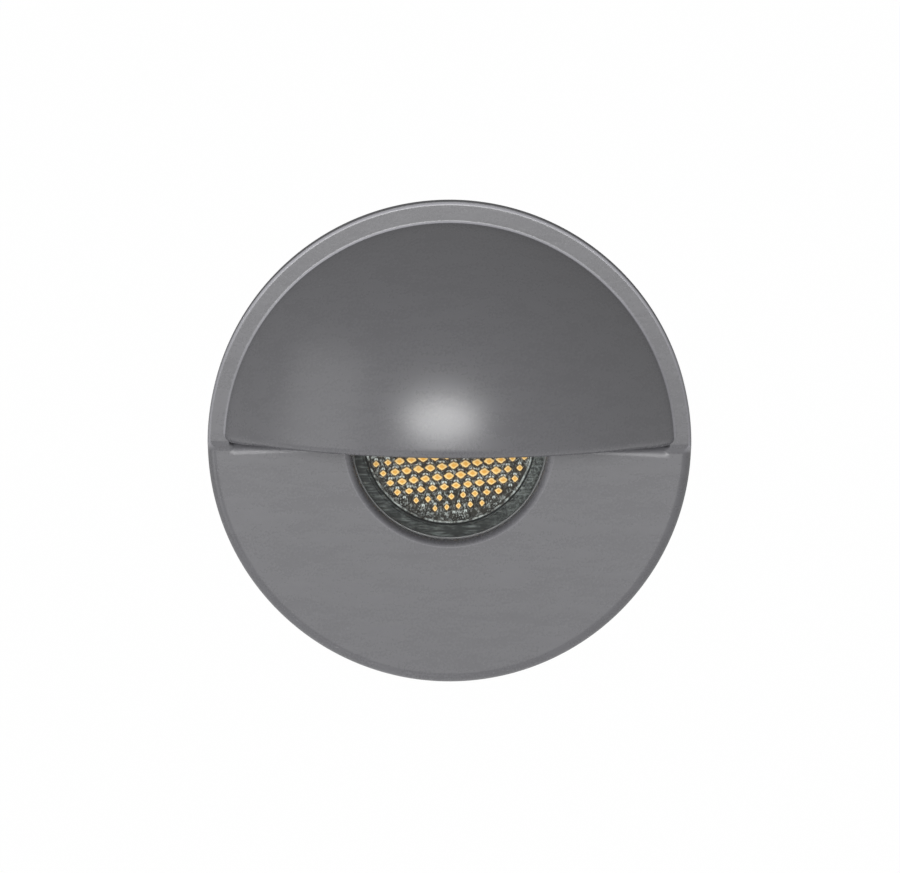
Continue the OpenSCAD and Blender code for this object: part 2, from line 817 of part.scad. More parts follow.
module hinge_pin() {
  pin_out = 0.3;
  color([0.75, 0.75, 0.73]) translate([hinge_at, hinge_back, 0]) {
    translate([0, 0, -ear_z - ear_t - pin_out])
      cylinder(r = pin_r, h = 2 * (ear_z + ear_t + pin_out), $fn = 48);
    translate([0, 0, ear_z + ear_t]) cylinder(r = pin_head_r, h = pin_head_t, $fn = 48);
  }
}

// A rubber sleeve over the tip of an arm
module clip_pad() {
  side_wall = 0.6;
  pad_w = arm_w + 2 * side_wall;
  color([0.1, 0.1, 0.1]) on_hinge() difference() {
    translate([arm_len - arm_pad_len, leaf_in - arm_pad_wall, -pad_w / 2])
      cube([arm_pad_len + side_wall, arm_t + 2 * arm_pad_wall, pad_w]);
    translate([arm_len - arm_pad_len - over, leaf_in - slip, -arm_w / 2 - slip])
      cube([arm_pad_len + over + slip, arm_t + 2 * slip, arm_w + 2 * slip]);
  }
}

// Centre line of the spring's wire: a leg down to the collar, the coil, and a leg along the arm
leg_stop = hinge_back - collar_len - slip;
coil_n = ceil(coil_steps * coil_sweep / 360);
spring_path = concat(
  [[-coil_r, -leg_stop, -coil_len / 2], [-coil_r, -leg_stop / 2, -coil_len / 2]],
  [for (i = [0:coil_n]) let (a = 180 - coil_sweep * i / coil_n)
    [coil_r * cos(a), coil_r * sin(a), -coil_len / 2 + coil_len * i / coil_n]],
  [for (s = [leg_len / 2, leg_len])
    [coil_r * sin(arm_lean) + s * cos(arm_lean), coil_r * cos(arm_lean) - s * sin(arm_lean), coil_len / 2]]
);

// Direction of a path at one of its points
function heading(path, i) =
  let (a = path[max(i - 1, 0)], b = path[min(i + 1, len(path) - 1)], d = b - a) d / norm(d);

// A ring of points square to the path, with its first point turned as little as possible from Z
function path_ring(path, i, r, sides) =
  let (
    t = heading(path, i),
    n = cross([0, 0, 1], t),
    u = n / norm(n),
    v = cross(t, u)
  ) [for (k = [0:sides - 1]) path[i] + r * (u * cos(360 * k / sides) + v * sin(360 * k / sides))];

// A tube swept along a path, as one closed mesh
module path_tube(path, r, sides) {
  n = len(path);
  points = [for (i = [0:n - 1]) each path_ring(path, i, r, sides)];
  walls = [for (i = [0:n - 2]) for (k = [0:sides - 1]) let (
    a = i * sides + k,
    b = i * sides + (k + 1) % sides
  ) each [[a, a + sides, b], [b, a + sides, b + sides]]];
  ends = concat(
    [for (k = [1:sides - 2]) [0, k, k + 1]],
    [for (k = [1:sides - 2]) let (e = (n - 1) * sides) [e, e + k + 1, e + k]]
  );
  polyhedron(points = points, faces = concat(walls, ends));
}

// Least gap between points of the wire that are at least half a turn apart along it
spring_gap = min([for (i = [0:len(spring_path) - 1]) for (j = [i + coil_steps / 2:1:len(spring_path) - 1])
  norm(spring_path[i] - spring_path[j])]) - wire_d;
echo("least gap of the torsion spring to itself, mm", spring_gap);

module torsion_spring() {
  color([0.6, 0.6, 0.6]) translate([hinge_at, hinge_back, 0]) path_tube(spring_path, wire_d / 2, wire_sides);
}

faceplate();
window();
window_gasket();
optic_holder();
beaded_optic();
led_package();
led_board();
led_board_screws();
thermal_pad();
housing();
housing_oring();
faceplate_screws();
lead_red();
lead_black();
driver_board();
driver_board_screws();
rectifier();
driver_chip();
inductor();
capacitor();
terminal_block();
rear_cap();
rear_cap_oring();
rear_cap_screws();
gland_body();
gland_oring();
gland_seal();
gland_nut();
mounting_gasket();
clip_arm();  // clip_arm_right
mirror([1, 0, 0]) clip_arm();  // clip_arm_left
hinge_pin();  // hinge_pin_right
mirror([1, 0, 0]) hinge_pin();  // hinge_pin_left
torsion_spring();  // torsion_spring_right
mirror([1, 0, 0]) torsion_spring();  // torsion_spring_left
clip_pad();  // clip_pad_right
mirror([1, 0, 0]) clip_pad();  // clip_pad_left
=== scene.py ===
"""Looks of a hooded step light, built round its packed frame. Front faces -Y; metres."""

import math

import bpy
import numpy as np
from bpy.props import FloatProperty, FloatVectorProperty, PointerProperty
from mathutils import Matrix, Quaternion, Vector


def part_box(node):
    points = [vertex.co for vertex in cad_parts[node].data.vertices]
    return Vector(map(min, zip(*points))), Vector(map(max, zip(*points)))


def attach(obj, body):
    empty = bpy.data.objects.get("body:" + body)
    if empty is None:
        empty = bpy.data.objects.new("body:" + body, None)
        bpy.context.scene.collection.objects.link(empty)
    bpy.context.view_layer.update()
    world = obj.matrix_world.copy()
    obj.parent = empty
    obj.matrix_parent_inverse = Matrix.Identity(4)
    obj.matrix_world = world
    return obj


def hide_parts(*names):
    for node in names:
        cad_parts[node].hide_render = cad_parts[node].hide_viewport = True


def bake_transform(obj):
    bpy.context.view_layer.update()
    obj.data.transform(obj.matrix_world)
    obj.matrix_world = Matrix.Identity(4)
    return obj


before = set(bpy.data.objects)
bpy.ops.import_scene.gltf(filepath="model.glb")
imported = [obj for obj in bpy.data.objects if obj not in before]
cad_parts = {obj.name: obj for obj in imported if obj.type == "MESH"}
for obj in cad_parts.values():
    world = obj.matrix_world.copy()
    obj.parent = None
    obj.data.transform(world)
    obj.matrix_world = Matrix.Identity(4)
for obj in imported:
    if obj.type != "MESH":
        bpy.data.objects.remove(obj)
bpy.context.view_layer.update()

bl_info = {
    "name": "Hooded step light",
    "version": (1, 0, 0),
    "blender": (4, 5, 0),
    "location": "View3D > Sidebar > Step Light",
    "description": "Builds the looks of a hooded step light round its packed frame",
    "category": "Object",
}

MM = 0.001
TURN = 2 * math.pi

# Places on the real light, in millimetres. A name that ends in F is a depth forwards from the mounting plane,
# and one that ends in Y is a depth behind it.
BACK_F, LIP_BACK_F, FLOOR_F, FACE_F = 1.0, 2.4, 3.4, 4.2
RIM_RAISE = 0.5
LAND_R, SEAT_R, RECESS_R = 21.5, 14.4, 28.88
# Heights between which the rim rises at the recess's ends
RAMP = (-1.3, -0.05)
# Depth and height of the middle of the hood's spheres, and how far the hood leans forwards
HOOD_CENTRE = (-21.0, -0.5)
HOOD_LEAN = math.radians(3)
COLLAR_R, BARREL_R, BORE_R = 22, 16.5, 15
COLLAR_Y, BODY_Y, CAP_Y = 6, 33, 35.5
# Middle of the right hinge, behind the faceplate, and the arms' lean
HINGE = (19.3, 10.0)
ARM_LEAN = math.radians(25)
KNUCKLE_R = COIL_R = 1.75
# Radii of a screw's shank and head, and the height of its head
M2, M25 = (1.0, 1.9, 1.4), (1.25, 2.2, 1.6)
# Radius and angles of the screws and posts round the axis
CAP_SCREWS = 17.6, (90, 210, 330)
FACE_SCREWS = 19.6, (45, 135, 225, 315)
POSTS = 11.4, (30, 150, 270)


# ---- settings

def number(name, description, value, unit="NONE"):
    """A number property."""
    return FloatProperty(name=name, description=description, default=value, unit=unit, precision=5)


def length(name, description, millimetres):
    """A length property, whose default is given in millimetres."""
    return number(name, description, millimetres * MM, "LENGTH")


def colour(name, description, value):
    """A colour property."""
    return FloatVectorProperty(
        name=name, description=description, default=value, size=3, min=0, max=1, subtype="COLOR"
    )


class FaceplateSettings(bpy.types.PropertyGroup):
    """Sizes and finish of the cast faceplate."""

    radius: length("Radius", "Outer radius of the faceplate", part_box("faceplate")[1].x / MM)
    hood_radius: length("Hood radius", "Outer radius of the sphere that the hood is cut from", 39.2)
    hood_wall: length("Hood wall", "Thickness of the hood", 2.0)
    hole_radius: length("Lens hole", "Radius of the lens hole", 12.9)
    hole_edge: length("Lens hole edge", "Radius of the hole's rounded edge", 1.25)
    grain: length("Grain", "Size of the powder coat's grain", 0.35)
    coat: colour("Coat", "Colour of the powder coat", (0.080, 0.0795, 0.0857))


class OpticSettings(bpy.types.PropertyGroup):
    """Sizes and colours of the optic and what shows through it."""

    pitch: length("Bead pitch", "Distance between neighbouring beads", 1.56)
    bead_radius: length("Bead radius", "Radius of a bead at its foot", 0.74)
    bead_height: length("Bead height", "Height of a bead", 0.35)
    field: length("Bead field", "Radius of the field of beads", 10.2)
    phosphor: colour("Phosphor", "Colour of the LED's phosphor through a bead", (0.68, 0.33, 0.055))
    depth: colour("Depth", "Colour of the clear moulding over the dark cup", (0.034, 0.028, 0.023))


class BodySettings(bpy.types.PropertyGroup):
    """Colours of the parts behind the faceplate."""

    aluminium: colour("Aluminium", "Colour of the bare castings", (0.52, 0.53, 0.54))
    steel: colour("Steel", "Colour of the plated steel", (0.60, 0.60, 0.58))
    rubber: colour("Rubber", "Colour of the pads and seals", (0.022, 0.022, 0.023))
    wire: length("Spring wire", "Diameter of the springs' wire", 0.6)


class StageSettings(bpy.types.PropertyGroup):
    """Camera, lamps and floor."""

    distance: number("Distance", "From the light to the camera", 1.4, "LENGTH")
    view_width: length("View width", "Width that the camera sees at the faceplate", 118.1)
    tilt: number("Tilt", "Height of the camera over the axis", math.radians(6.03), "ROTATION")
    roll: number("Roll", "Turn of the camera about its own view", math.radians(0.4), "ROTATION")
    key: number("Key", "Power of the front lamp", 9.4, "POWER")
    side: number("Side", "Power of the tall lamp on the left", 3.2, "POWER")
    low: number("Low", "Power of the low front lamp", 20.5, "POWER")
    rear: number("Rear", "Power of the lamp behind the light", 5.5, "POWER")
    ambient: number("Ambient", "Light from all round", 0.25)


GROUPS = {
    "light_faceplate": FaceplateSettings,
    "light_optic": OpticSettings,
    "light_body": BodySettings,
    "light_stage": StageSettings,
}


# ---- shapes

def grid_faces(rows, cols, close_rows=False, close_cols=False):
    """Quads between neighbours of a grid stored row by row, closed round in either direction."""
    i = np.arange(rows if close_rows else rows - 1)[:, None]
    j = np.arange(cols if close_cols else cols - 1)
    down, right = (i + 1) % rows, (j + 1) % cols
    return np.stack([i * cols + j, i * cols + right, down * cols + right, down * cols + j], -1).reshape(-1, 4)


def outward(points, faces):
    """A closed shell with its faces outwards: they are turned round if the shell's signed volume is negative."""
    volume = 0.0
    for corners in faces:
        corners = np.atleast_2d(corners)
        a = points[corners[:, 0]]
        for k in range(1, corners.shape[1] - 1):
            volume += np.einsum("ij,ij->", a, np.cross(points[corners[:, k]], points[corners[:, k + 1]]))
    return points, faces if volume > 0 else [np.atleast_2d(f)[:, ::-1] for f in faces]


def loop_shell(grid):
    """A grid (rows, cols, 3) that closes round both ways, as a shell like a ring."""
    rows, cols = grid.shape[:2]
    return outward(grid.reshape(-1, 3), [grid_faces(rows, cols, True, True)])


def capped_shell(grid):
    """A grid (rows, cols, 3) that closes round along its rows, with a flat cap on its first and last row."""
    rows, cols = grid.shape[:2]
    ends = [np.arange(cols)[None, ::-1], (rows - 1) * cols + np.arange(cols)[None]]
    return outward(grid.reshape(-1, 3), [grid_faces(rows, cols, False, True), *ends])


def joined(shells):
    """Several shells as one set of points and faces."""
    points, faces, start = [], [], 0
    for p, fs in shells:
        points.append(p)
        faces += [f + start for f in fs]
        start += len(p)
    return np.concatenate(points), faces


def unit(vectors):
    """Rows of vectors at length 1."""
    return vectors / np.maximum(np.linalg.norm(vectors, axis=1, keepdims=True), 1e-9)


def rounded(corners, steps=5):
    """A closed outline whose corners (a, b, radius) become arcs tangent to both of their sides."""
    c = np.array(corners, float)
    p, radius = c[:, :2], c[:, 2:]
    before, after = np.roll(p, 1, 0) - p, np.roll(p, -1, 0) - p
    u, v = unit(before), unit(after)
    shorter = np.minimum(*(np.linalg.norm(side, axis=1, keepdims=True) for side in (before, after)))
    half = np.arccos(np.clip((u * v).sum(1, keepdims=True), -1, 0.9999)) / 2
    half = np.minimum(half, math.pi / 2 - 1e-4)
    cut = np.minimum(radius / np.tan(half), 0.48 * shorter)
    centre = p + unit(u + v) * cut / np.cos(half)
    sweep = math.pi - 2 * half
    t = np.linspace(0, 1, steps + 1)[None, :, None]
    a, b = (p + u * cut - centre)[:, None], (p + v * cut - centre)[:, None]
    sweep = sweep[:, None]
    arcs = centre[:, None] + (np.sin((1 - t) * sweep) * a + np.sin(t * sweep) * b) / np.sin(sweep)
    line = arcs.reshape(-1, 2)
    step = np.linalg.norm(line - np.roll(line, 1, 0), axis=1)
    return line[step > 1e-5]


def hexagon(a):
    """Radius at an angle of a hexagon round the unit circle, flat towards X, with its corners eased."""
    wedge = (a + TURN / 12) % (TURN / 6) - TURN / 12
    return np.minimum(1 / np.cos(wedge), 1.13)


def around(r, a, y, at=(0.0, 0.0)):
    """Points at radii r and angles a round an axis along Y through at, each at its depth y."""
    return np.stack(np.broadcast_arrays(at[0] + r * np.cos(a), y, at[1] + r * np.sin(a)), -1)


def turned(outline, steps=96, at=(0.0, 0.0), flats=0.0):
    """A closed outline of (radius, y) carried round an axis along Y through at, as a ring shell. With flats,
    every radius stays within a hexagon of that half width."""
    a = np.arange(steps)[:, None] * TURN / steps
    r = outline[:, 0]
    if flats:
        r = np.minimum(r, flats * hexagon(a))
    return loop_shell(around(r, a, outline[:, 1], at))


def solid_turned(line, steps=96, at=(0.0, 0.0), hexed=0):
    """An open line of (radius, y) carried round an axis along Y, with a flat cap over each end. Its last
    hexed points follow a hexagon instead of a circle."""
    a = np.arange(steps) * TURN / steps
    r = line[:, :1] + 0 * a
    if hexed:
        r[-hexed:] *= hexagon(a)
    return capped_shell(around(r, a, line[:, 1:], at))


def upright(shape, x, y):
    """A shape turned about Y, stood up about Z at x and y."""
    points, faces = shape
    return outward(points[:, [0, 2, 1]] + [x, y, 0], faces)


def screw(at, size, seat, depth):
    """A pan head screw along Y, with its head behind the seat and its tip at a depth before it: a line up the
    shank, round the head's edge, over its top and down a hexagonal socket, carried round the axis."""
    shank, head, height = size
    drive, top, tip = shank * 0.75, seat + height, seat - depth
    a = np.radians(np.linspace(0, 84, 7))
    edge = np.stack([head - 0.6 + 0.6 * np.cos(a), top - 0.55 + 0.55 * np.sin(a)], 1)
    below = [[0.2, tip], [shank - 0.25, tip], [shank, tip + 0.3], [shank, seat], [head - 0.08, seat],
             [head, seat + 0.1]]
    socket = [[drive * 1.13 + 0.16, top], [drive + 0.03, top], [drive, top - 0.05], [drive, top - 0.6 * height],
              [drive * 0.3, top - 0.7 * height]]
    return solid_turned(np.concatenate([below, edge, socket]), 48, at, hexed=4)


def inset(outline, amount):
    """A closed outline moved inwards, each point along the mean of its two sides' normals."""
    after, before = np.roll(outline, -1, 0) - outline, outline - np.roll(outline, 1, 0)
    normals = [np.stack([-side[:, 1], side[:, 0]], 1) for side in (unit(before), unit(after))]
    mean = normals[0] + normals[1]
    mean /= np.maximum((mean * normals[0]).sum(1, keepdims=True), 0.4)
    area = (outline[:, 0] * np.roll(outline[:, 1], -1) - outline[:, 1] * np.roll(outline[:, 0], -1)).sum()
    return outline + mean * amount * (1 if area > 0 else -1)


def layers_of(outline, low, high, edge):
    """An outline at heights from low to high, drawn in at both ends along a quarter circle of radius edge."""
    a = np.linspace(0, math.pi / 2, 4)
    side = [(inset(outline, i), h) for i, h in zip(edge * (1 - np.sin(a)), edge * (1 - np.cos(a)))]
    return [(line, low + h) for line, h in side] + [(line, high - h) for line, h in side[::-1]]


def stacked(layers, place):
    """A grid from outlines and their heights. place turns an outline's points and heights into x, y and z."""
    return np.stack([place(line, np.full(len(line), h)) for line, h in layers])


def prism(outline, low, high, edge, place):
    """An outline carried from low to high, with rounded end edges."""
    return capped_shell(stacked(layers_of(outline, low, high, edge), place))


def subdivided(outline, longest=0.5):
    """A closed outline with points added evenly along its longer sides."""
    following = np.roll(outline, -1, 0)
    counts = np.ceil(np.linalg.norm(following - outline, axis=1) / longest).astype(int)
    parts = [a + (b - a) * np.arange(n)[:, None] / n for a, b, n in zip(outline, following, np.maximum(counts, 1))]
    return np.concatenate(parts)


def pierced(outline, hole, low, high, edge, place):
    """A plate with a round hole (a, b, radius): at each point of the outline a closed section, which follows
    the rounded outer side, the top, the wall of the hole and the bottom. The outline sees the hole's centre
    from everywhere."""
    outline, centre, radius = subdivided(outline), np.array(hole[:2]), hole[2]
    ray, ease = unit(outline - centre), edge / 2
    wall = (radius + ease, high), (radius, high - ease), (radius, low + ease), (radius + ease, low)
    layers = layers_of(outline, low, high, edge) + [(centre + ray * r, h) for r, h in wall]
    return loop_shell(stacked(layers, place))


def tube(path, radius, sides=10):
    """A round wire: a ring of points square to the path at each of its points, with no twist, and flat ends."""
    heading = unit(np.gradient(path, axis=0))
    across = unit(np.cross([0.0, 0.0, 1.0], heading))
    other = np.cross(heading, across)
    a = (np.arange(sides) * TURN / sides)[None, :, None]
    return capped_shell(path[:, None] + radius * (across[:, None] * np.cos(a) + other[:, None] * np.sin(a)))


def smoothstep(t):
    """0 up to 0, 1 from 1, and a smooth S between them."""
    t = np.clip(t, 0, 1)
    return t * t * (3 - 2 * t)


def add_object(name, data):
    """A new object at the origin of the scene."""
    obj = bpy.data.objects.new(name, data)
    bpy.context.scene.collection.objects.link(obj)
    return obj


def make_piece(name, shape, slot, *replaces, body="housing", sharp=32, attributes=None, weighted=True):
    """Puts a shape in millimetres into a new object at the origin, with its slot's finish, and has it ride on
    a body. Weighted normals keep its flat faces flat beside their rounded edges."""
    points, faces = shape
    mesh = bpy.data.meshes.new(name)
    polygons = [row for f in faces for row in np.atleast_2d(f).tolist()]
    mesh.from_pydata((points * MM).tolist(), [], polygons)
    for key, values in (attributes or {}).items():
        layer = mesh.attributes.new(key, "FLOAT_VECTOR", "POINT")
        layer.data.foreach_set("vector", values.astype(np.float32).ravel())
    mesh.shade_smooth()
    mesh.set_sharp_from_angle(angle=math.radians(sharp))
    mesh.materials.append(finish_for(slot))
    obj = add_object(name, mesh)
    if body:
        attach(obj, body)
    if replaces:
        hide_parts(*replaces)
    if weighted:
        flatten = obj.modifiers.new("flat_faces", "WEIGHTED_NORMAL")
        flatten.keep_sharp, flatten.weight = True, 80
    return obj


def turned_piece(name, slot, node, corners, steps=96, flats=0.0):
    """A piece that is turned from an outline with rounded corners."""
    make_piece(name, turned(rounded(corners), steps, flats=flats), slot, node)


# ---- finishes

def operation(kind):
    """A method that adds a Math node of one kind, whose first value is the term itself."""
    return lambda term, *values: term.nodes.node("Math", dict(enumerate((term, *values))), operation=kind)


class Term:
    """An output socket in a node tree. Arithmetic on terms adds Math nodes."""

    def __init__(self, nodes, socket):
        self.nodes, self.socket = nodes, socket

    __add__, __sub__, __mul__ = operation("ADD"), operation("SUBTRACT"), operation("MULTIPLY")
    __truediv__, __pow__, __abs__ = operation("DIVIDE"), operation("POWER"), operation("ABSOLUTE")
    larger, fraction = operation("MAXIMUM"), operation("FRACT")

    def __rsub__(self, other):
        return self.nodes.node("Math", {0: other, 1: self}, operation="SUBTRACT")

    def between(self, low, high):
        """0 below low and 1 above high, with a smooth S between them."""
        sockets = {"Value": self, "From Min": low, "From Max": high}
        return self.nodes.node("MapRange", sockets, interpolation_type="SMOOTHSTEP")


class Nodes:
    """The node tree of a material or of the world while it is being made."""

    def __init__(self, owner, output):
        owner.use_nodes = True
        self.owner, self.tree = owner, owner.node_tree
        self.tree.nodes.clear()
        self.output = self.tree.nodes.new("ShaderNode" + output)

    def node(self, kind, sockets=None, out=0, **settings):
        """Adds a node: its settings first, then the values or links of its sockets. Hands over one output."""
        made = self.tree.nodes.new("ShaderNode" + kind)
        for key, value in settings.items():
            setattr(made, key, value)
        for key, value in (sockets or {}).items():
            self.feed(made.inputs[key], value)
        return Term(self, made.outputs[out])

    def outputs(self, kind, sockets=None):
        """Adds a node and hands over all of its outputs by name."""
        made = self.node(kind, sockets).socket.node
        return {output.name: Term(self, output) for output in made.outputs}

    def feed(self, socket, value):
        """Links a term to a socket, or sets the socket's own value."""
        if isinstance(value, Term):
            self.tree.links.new(value.socket, socket)
        else:
            socket.default_value = (*value, 1.0) if socket.type == "RGBA" and len(value) == 3 else value

    def seen(self):
        """1 for rays from the camera, off glossy surfaces and through clear ones, and 0 for all others."""
        rays = self.outputs("LightPath")
        return rays["Is Camera Ray"].larger(rays["Is Glossy Ray"]).larger(rays["Is Transmission Ray"])

    def done(self, shader):
        """Links the shader to the output and hands over the material or world."""
        self.feed(self.output.inputs["Surface"], shader)
        return self.owner


class Finish(Nodes):
    """A procedural material while it is being made."""

    def __init__(self, name):
        super().__init__(bpy.data.materials.new(name), "OutputMaterial")
        self.coordinates = self.outputs("TexCoord")["Object"]

    def parts(self, vector):
        """The three parts of a vector."""
        return self.outputs("SeparateXYZ", {0: vector}).values()

    def attribute(self, name):
        """The three parts of a vector that each point of the mesh carries."""
        return self.parts(self.node("Attribute", out=1, attribute_name=name))

    def noise(self, size, stretch=(1, 1, 1), detail=2.0, rough=0.5):
        """Noise from 0 to 1 whose features are size millimetres across, times the stretch along each axis."""
        scale = tuple(1 / (MM * s) for s in stretch)
        place = self.node("Mapping", {"Vector": self.coordinates, "Scale": scale})
        return self.node("TexNoise", {"Vector": place, "Scale": 1 / size, "Detail": detail, "Roughness": rough})

    def mix(self, factor, a, b, how="MIX"):
        """Colour a, turning into colour b with the factor."""
        sockets = {0: factor, 6: a, 7: b}
        return self.node("Mix", sockets, out=2, data_type="RGBA", blend_type=how, clamp_factor=True)

    def bump(self, height, depth, strength=1.0, under=None):
        """A normal from a height between 0 and 1, for relief that is depth millimetres deep."""
        sockets = {"Height": height, "Distance": depth * MM, "Strength": strength}
        if under:
            sockets["Normal"] = under
        return self.node("Bump", sockets)

    def blend(self, factor, a, b):
        """Shader a, turning into shader b with the factor."""
        return self.node("MixShader", {0: factor, 1: a, 2: b})


def shaded(value, factor):
    """A colour times a factor, kept within 0 and 1."""
    return tuple(min(1.0, v * factor) for v in value)


def plain_finish(
    name, base, rough, metal=0.0, grain=0.3, stretch=(1, 1, 1), tint=0.12, spread=0.08, relief=0.01,
    blotch=4.0, coat=0.0, sheen=0.0, shade=1.0,
):
    """A material with fine grain, broader blotches and relief: the pattern that cast, moulded and rolled
    surfaces share. tint is how far the colour strays, spread how far the roughness does."""
    f = Finish(name)
    fine = f.noise(grain, stretch, detail=4.0, rough=0.6)
    broad = f.noise(blotch, stretch, detail=2.0)
    amount = (fine * 0.6 + broad * 0.4).between(0.3, 0.7)
    base = shaded(base, shade)
    return f.done(f.node("BsdfPrincipled", {
        "Base Color": f.mix(amount, shaded(base, 1 - tint), shaded(base, 1 + tint)),
        "Roughness": broad * (2 * spread) + fine * spread + (rough - 1.5 * spread),
        "Metallic": metal,
        "Coat Weight": coat,
        "Coat Roughness": 0.15,
        "Sheen Weight": sheen,
        "Normal": f.bump(fine, relief),
    }))


def powder_coat(settings):
    """Satin powder coat on a casting: fine grain, orange peel under it, and faint level mottling. The attribute
    trim holds how far a point belongs to the matt outer side, and how much painted light lies on it: a painted
    highlight on the rim's edge and the hood's fillet, and fainter painted light on the lens hole's edge and in the
    recess."""
    f = Finish("grey_powder_coat")
    grain = f.noise(settings.grain / MM, detail=3.0, rough=0.65)
    peel = f.noise(1.1, (1.6, 1, 1), detail=2.0)
    mottle = f.noise(2.6, (2.6, 1, 0.8), detail=3.0, rough=0.6)
    speck = f.noise(0.16, detail=1.0).between(0.68, 0.80)
    tone = (grain * 0.35 + mottle * 0.65).between(0.25, 0.75)
    coat = tuple(settings.coat)
    base = f.mix(tone, shaded(coat, 0.93), shaded(coat, 1.07))
    base = f.mix(speck * 0.5, base, shaded(coat, 1.7))
    side, edge, _ = f.attribute("trim")
    base = f.mix(side, base, shaded(coat, 1.15))
    # Painted highlight and painted light: the colour lightened up to 4.2 times where trim marks the rim's edge,
    # the fillet, the hole's edge and the recess
    base = f.mix(edge, base, shaded(coat, 4.2))
    under = f.bump(mottle * 0.5 + peel * 0.5, 0.018, 0.6)
    relief = f.bump(grain, 0.0045, 0.8, under)
    satin = f.node("BsdfPrincipled", {
        "Base Color": base,
        "Roughness": grain * 0.04 + mottle * 0.04 + 0.235,
        "Specular IOR Level": 0.625,
        "Normal": relief,
    })
    matt = f.node("BsdfDiffuse", {"Color": base, "Roughness": 0.5, "Normal": relief})
    return f.done(f.blend(side * 0.88, satin, matt))


def clear_glass():
    """Flat glass with a faint white glow painted on where it is dusty, for light that dusty glass scatters.
    It lets light straight through, and mirrors at a glancing angle.
    """
    f = Finish("window_glass")
    dust_and_glow = f.noise(0.9, detail=4.0, rough=0.7).between(0.56, 0.8)
    through = f.node("BsdfTransparent", {"Color": (0.93, 0.95, 0.94)})
    # Painted glow: a faint white emission, stronger where dusty, for light that the glass scatters
    dusty_glow = f.node("Emission", {"Color": (1, 1, 1), "Strength": 1.0})
    clear = f.blend(dust_and_glow * 0.008 + 0.010, through, dusty_glow)
    mirror = f.node("BsdfGlossy", {"Color": (1, 1, 1), "Roughness": dust_and_glow * 0.25 + 0.04})
    glancing = f.node("Fresnel", {"IOR": 1.45}).between(0.04, 0.9)
    return f.done(f.blend(glancing * 0.9, clear, mirror))


def beaded_clear(settings):
    """The optic's clear moulding over its dark cup, with painted light on it: on each bead a painted image of
    the phosphor, a lozenge with a pale border that glows through the emission, with short painted glints above
    it, and painted glints on the optic's raised rim. The attribute bead holds a point's place on its bead,
    across and up, in half widths and half heights of the lozenge, and how strongly the lozenge shows, from 0
    to 1, or -1 on the optic's raised rim."""
    f = Finish("clear_optic")
    across, up, shows = f.attribute("bead")
    power = 1.25
    wobble = f.noise(0.30, detail=2.0) * 0.5 - 0.25
    reach = (abs(across) ** power + abs(up) ** power) ** (1 / power) + wobble
    shown, rim = shows.between(0.0, 1.0), shows.between(0.0, -1.0)
    spot = (1 - reach.between(0.87, 1.05)) * shown
    halo = (1 - reach.between(1.02, 1.6)) * shown
    # Two short painted glints above each lozenge, and broken painted sparks of light all over
    caret = abs(abs(across) - 0.26 + (up - 1.5) * 0.25) + wobble * 0.5
    painted_glint = (1 - caret.between(0.08, 0.32)) * (1 - abs(up - 1.55 + wobble).between(0.34, 0.70))
    fleck = f.noise(0.27, (1.0, 1, 1.3), detail=3.0, rough=0.7)
    patch = f.noise(0.9, detail=2.0)
    painted_glint = painted_glint * patch.between(0.20, 0.44) * (1 - spot)
    painted_sparks = fleck.between(0.47, 0.68) * patch.between(0.30, 0.62) * (1 - spot)
    # All the painted highlights together, with broken painted highlights along the optic's raised rim
    pale = painted_glint.larger(painted_sparks * 0.50).larger(rim * patch.between(0.32, 0.62) * fleck.between(0.3, 0.6) * 0.7)
    # Colours: the lozenge, a painted image of the phosphor, and its border, the clear plastic with its flecks
    # and a brown halo round the lozenge, and the painted glints, which turn warm beside a lozenge as if lit by it
    phosphor, border = tuple(settings.phosphor), (0.80, 0.54, 0.24)
    amber = f.mix(reach.between(0.36, 0.68), phosphor, border)
    amber = f.mix(fleck.between(0.5, 0.7) * 0.3, amber, shaded(phosphor, 0.8))
    dark = f.mix(fleck.between(0.45, 0.75), tuple(settings.depth), (0.13, 0.105, 0.088))
    dark = f.mix(halo * 0.8, dark, (0.080, 0.030, 0.012))
    dark = f.mix(pale, dark, f.mix(halo, (0.72, 0.75, 0.75), (0.70, 0.56, 0.42)))
    # Painted glow: the glints and the lozenges give off light of their own through the emission
    painted_glow = f.mix(pale, (0, 0, 0), f.mix(halo, (0.46, 0.48, 0.48), (0.44, 0.34, 0.24)))
    painted_glow = f.mix(spot, painted_glow, f.mix(1.0, amber, (0.8, 0.8, 0.8), "MULTIPLY"))
    return f.done(f.node("BsdfPrincipled", {
        "Base Color": f.mix(spot, dark, amber),
        "Roughness": f.noise(0.5, detail=2.0) * 0.10 + 0.10,
        "Specular IOR Level": 0.16,
        "Coat Weight": 0.12,
        "Coat Roughness": 0.06,
        "Emission Color": painted_glow,
        "Emission Strength": 0.75,
        "Normal": f.bump(fleck, 0.003),
    }))


def black_with_painted_streaks():
    """Black moulding with grey streaks painted on as reflections, level across the light, more on its right."""
    f = Finish("black_moulding")
    streaks = f.noise(0.44, (6, 1, 0.7), detail=3.0, rough=0.6)
    broken = f.noise(1.3, (1.5, 1, 1), detail=3.0, rough=0.6)
    flecks = f.noise(0.35, detail=3.0, rough=0.7)
    x, _, _ = f.parts(f.coordinates)
    right = (x / MM).between(4.0, 10.0)
    # Painted reflections: grey streaks all over, and grey flecks on the right
    light = streaks.between(0.42, 0.68) * broken.between(0.34, 0.60) + right * flecks.between(0.44, 0.64) * 0.75
    return f.done(f.node("BsdfPrincipled", {
        "Base Color": f.mix(light, (0.030, 0.031, 0.0315), (0.31, 0.322, 0.322)),
        "Roughness": broken * 0.2 + 0.30,
        "Specular IOR Level": 0.18,
        "Normal": f.bump(streaks, 0.006),
    }))


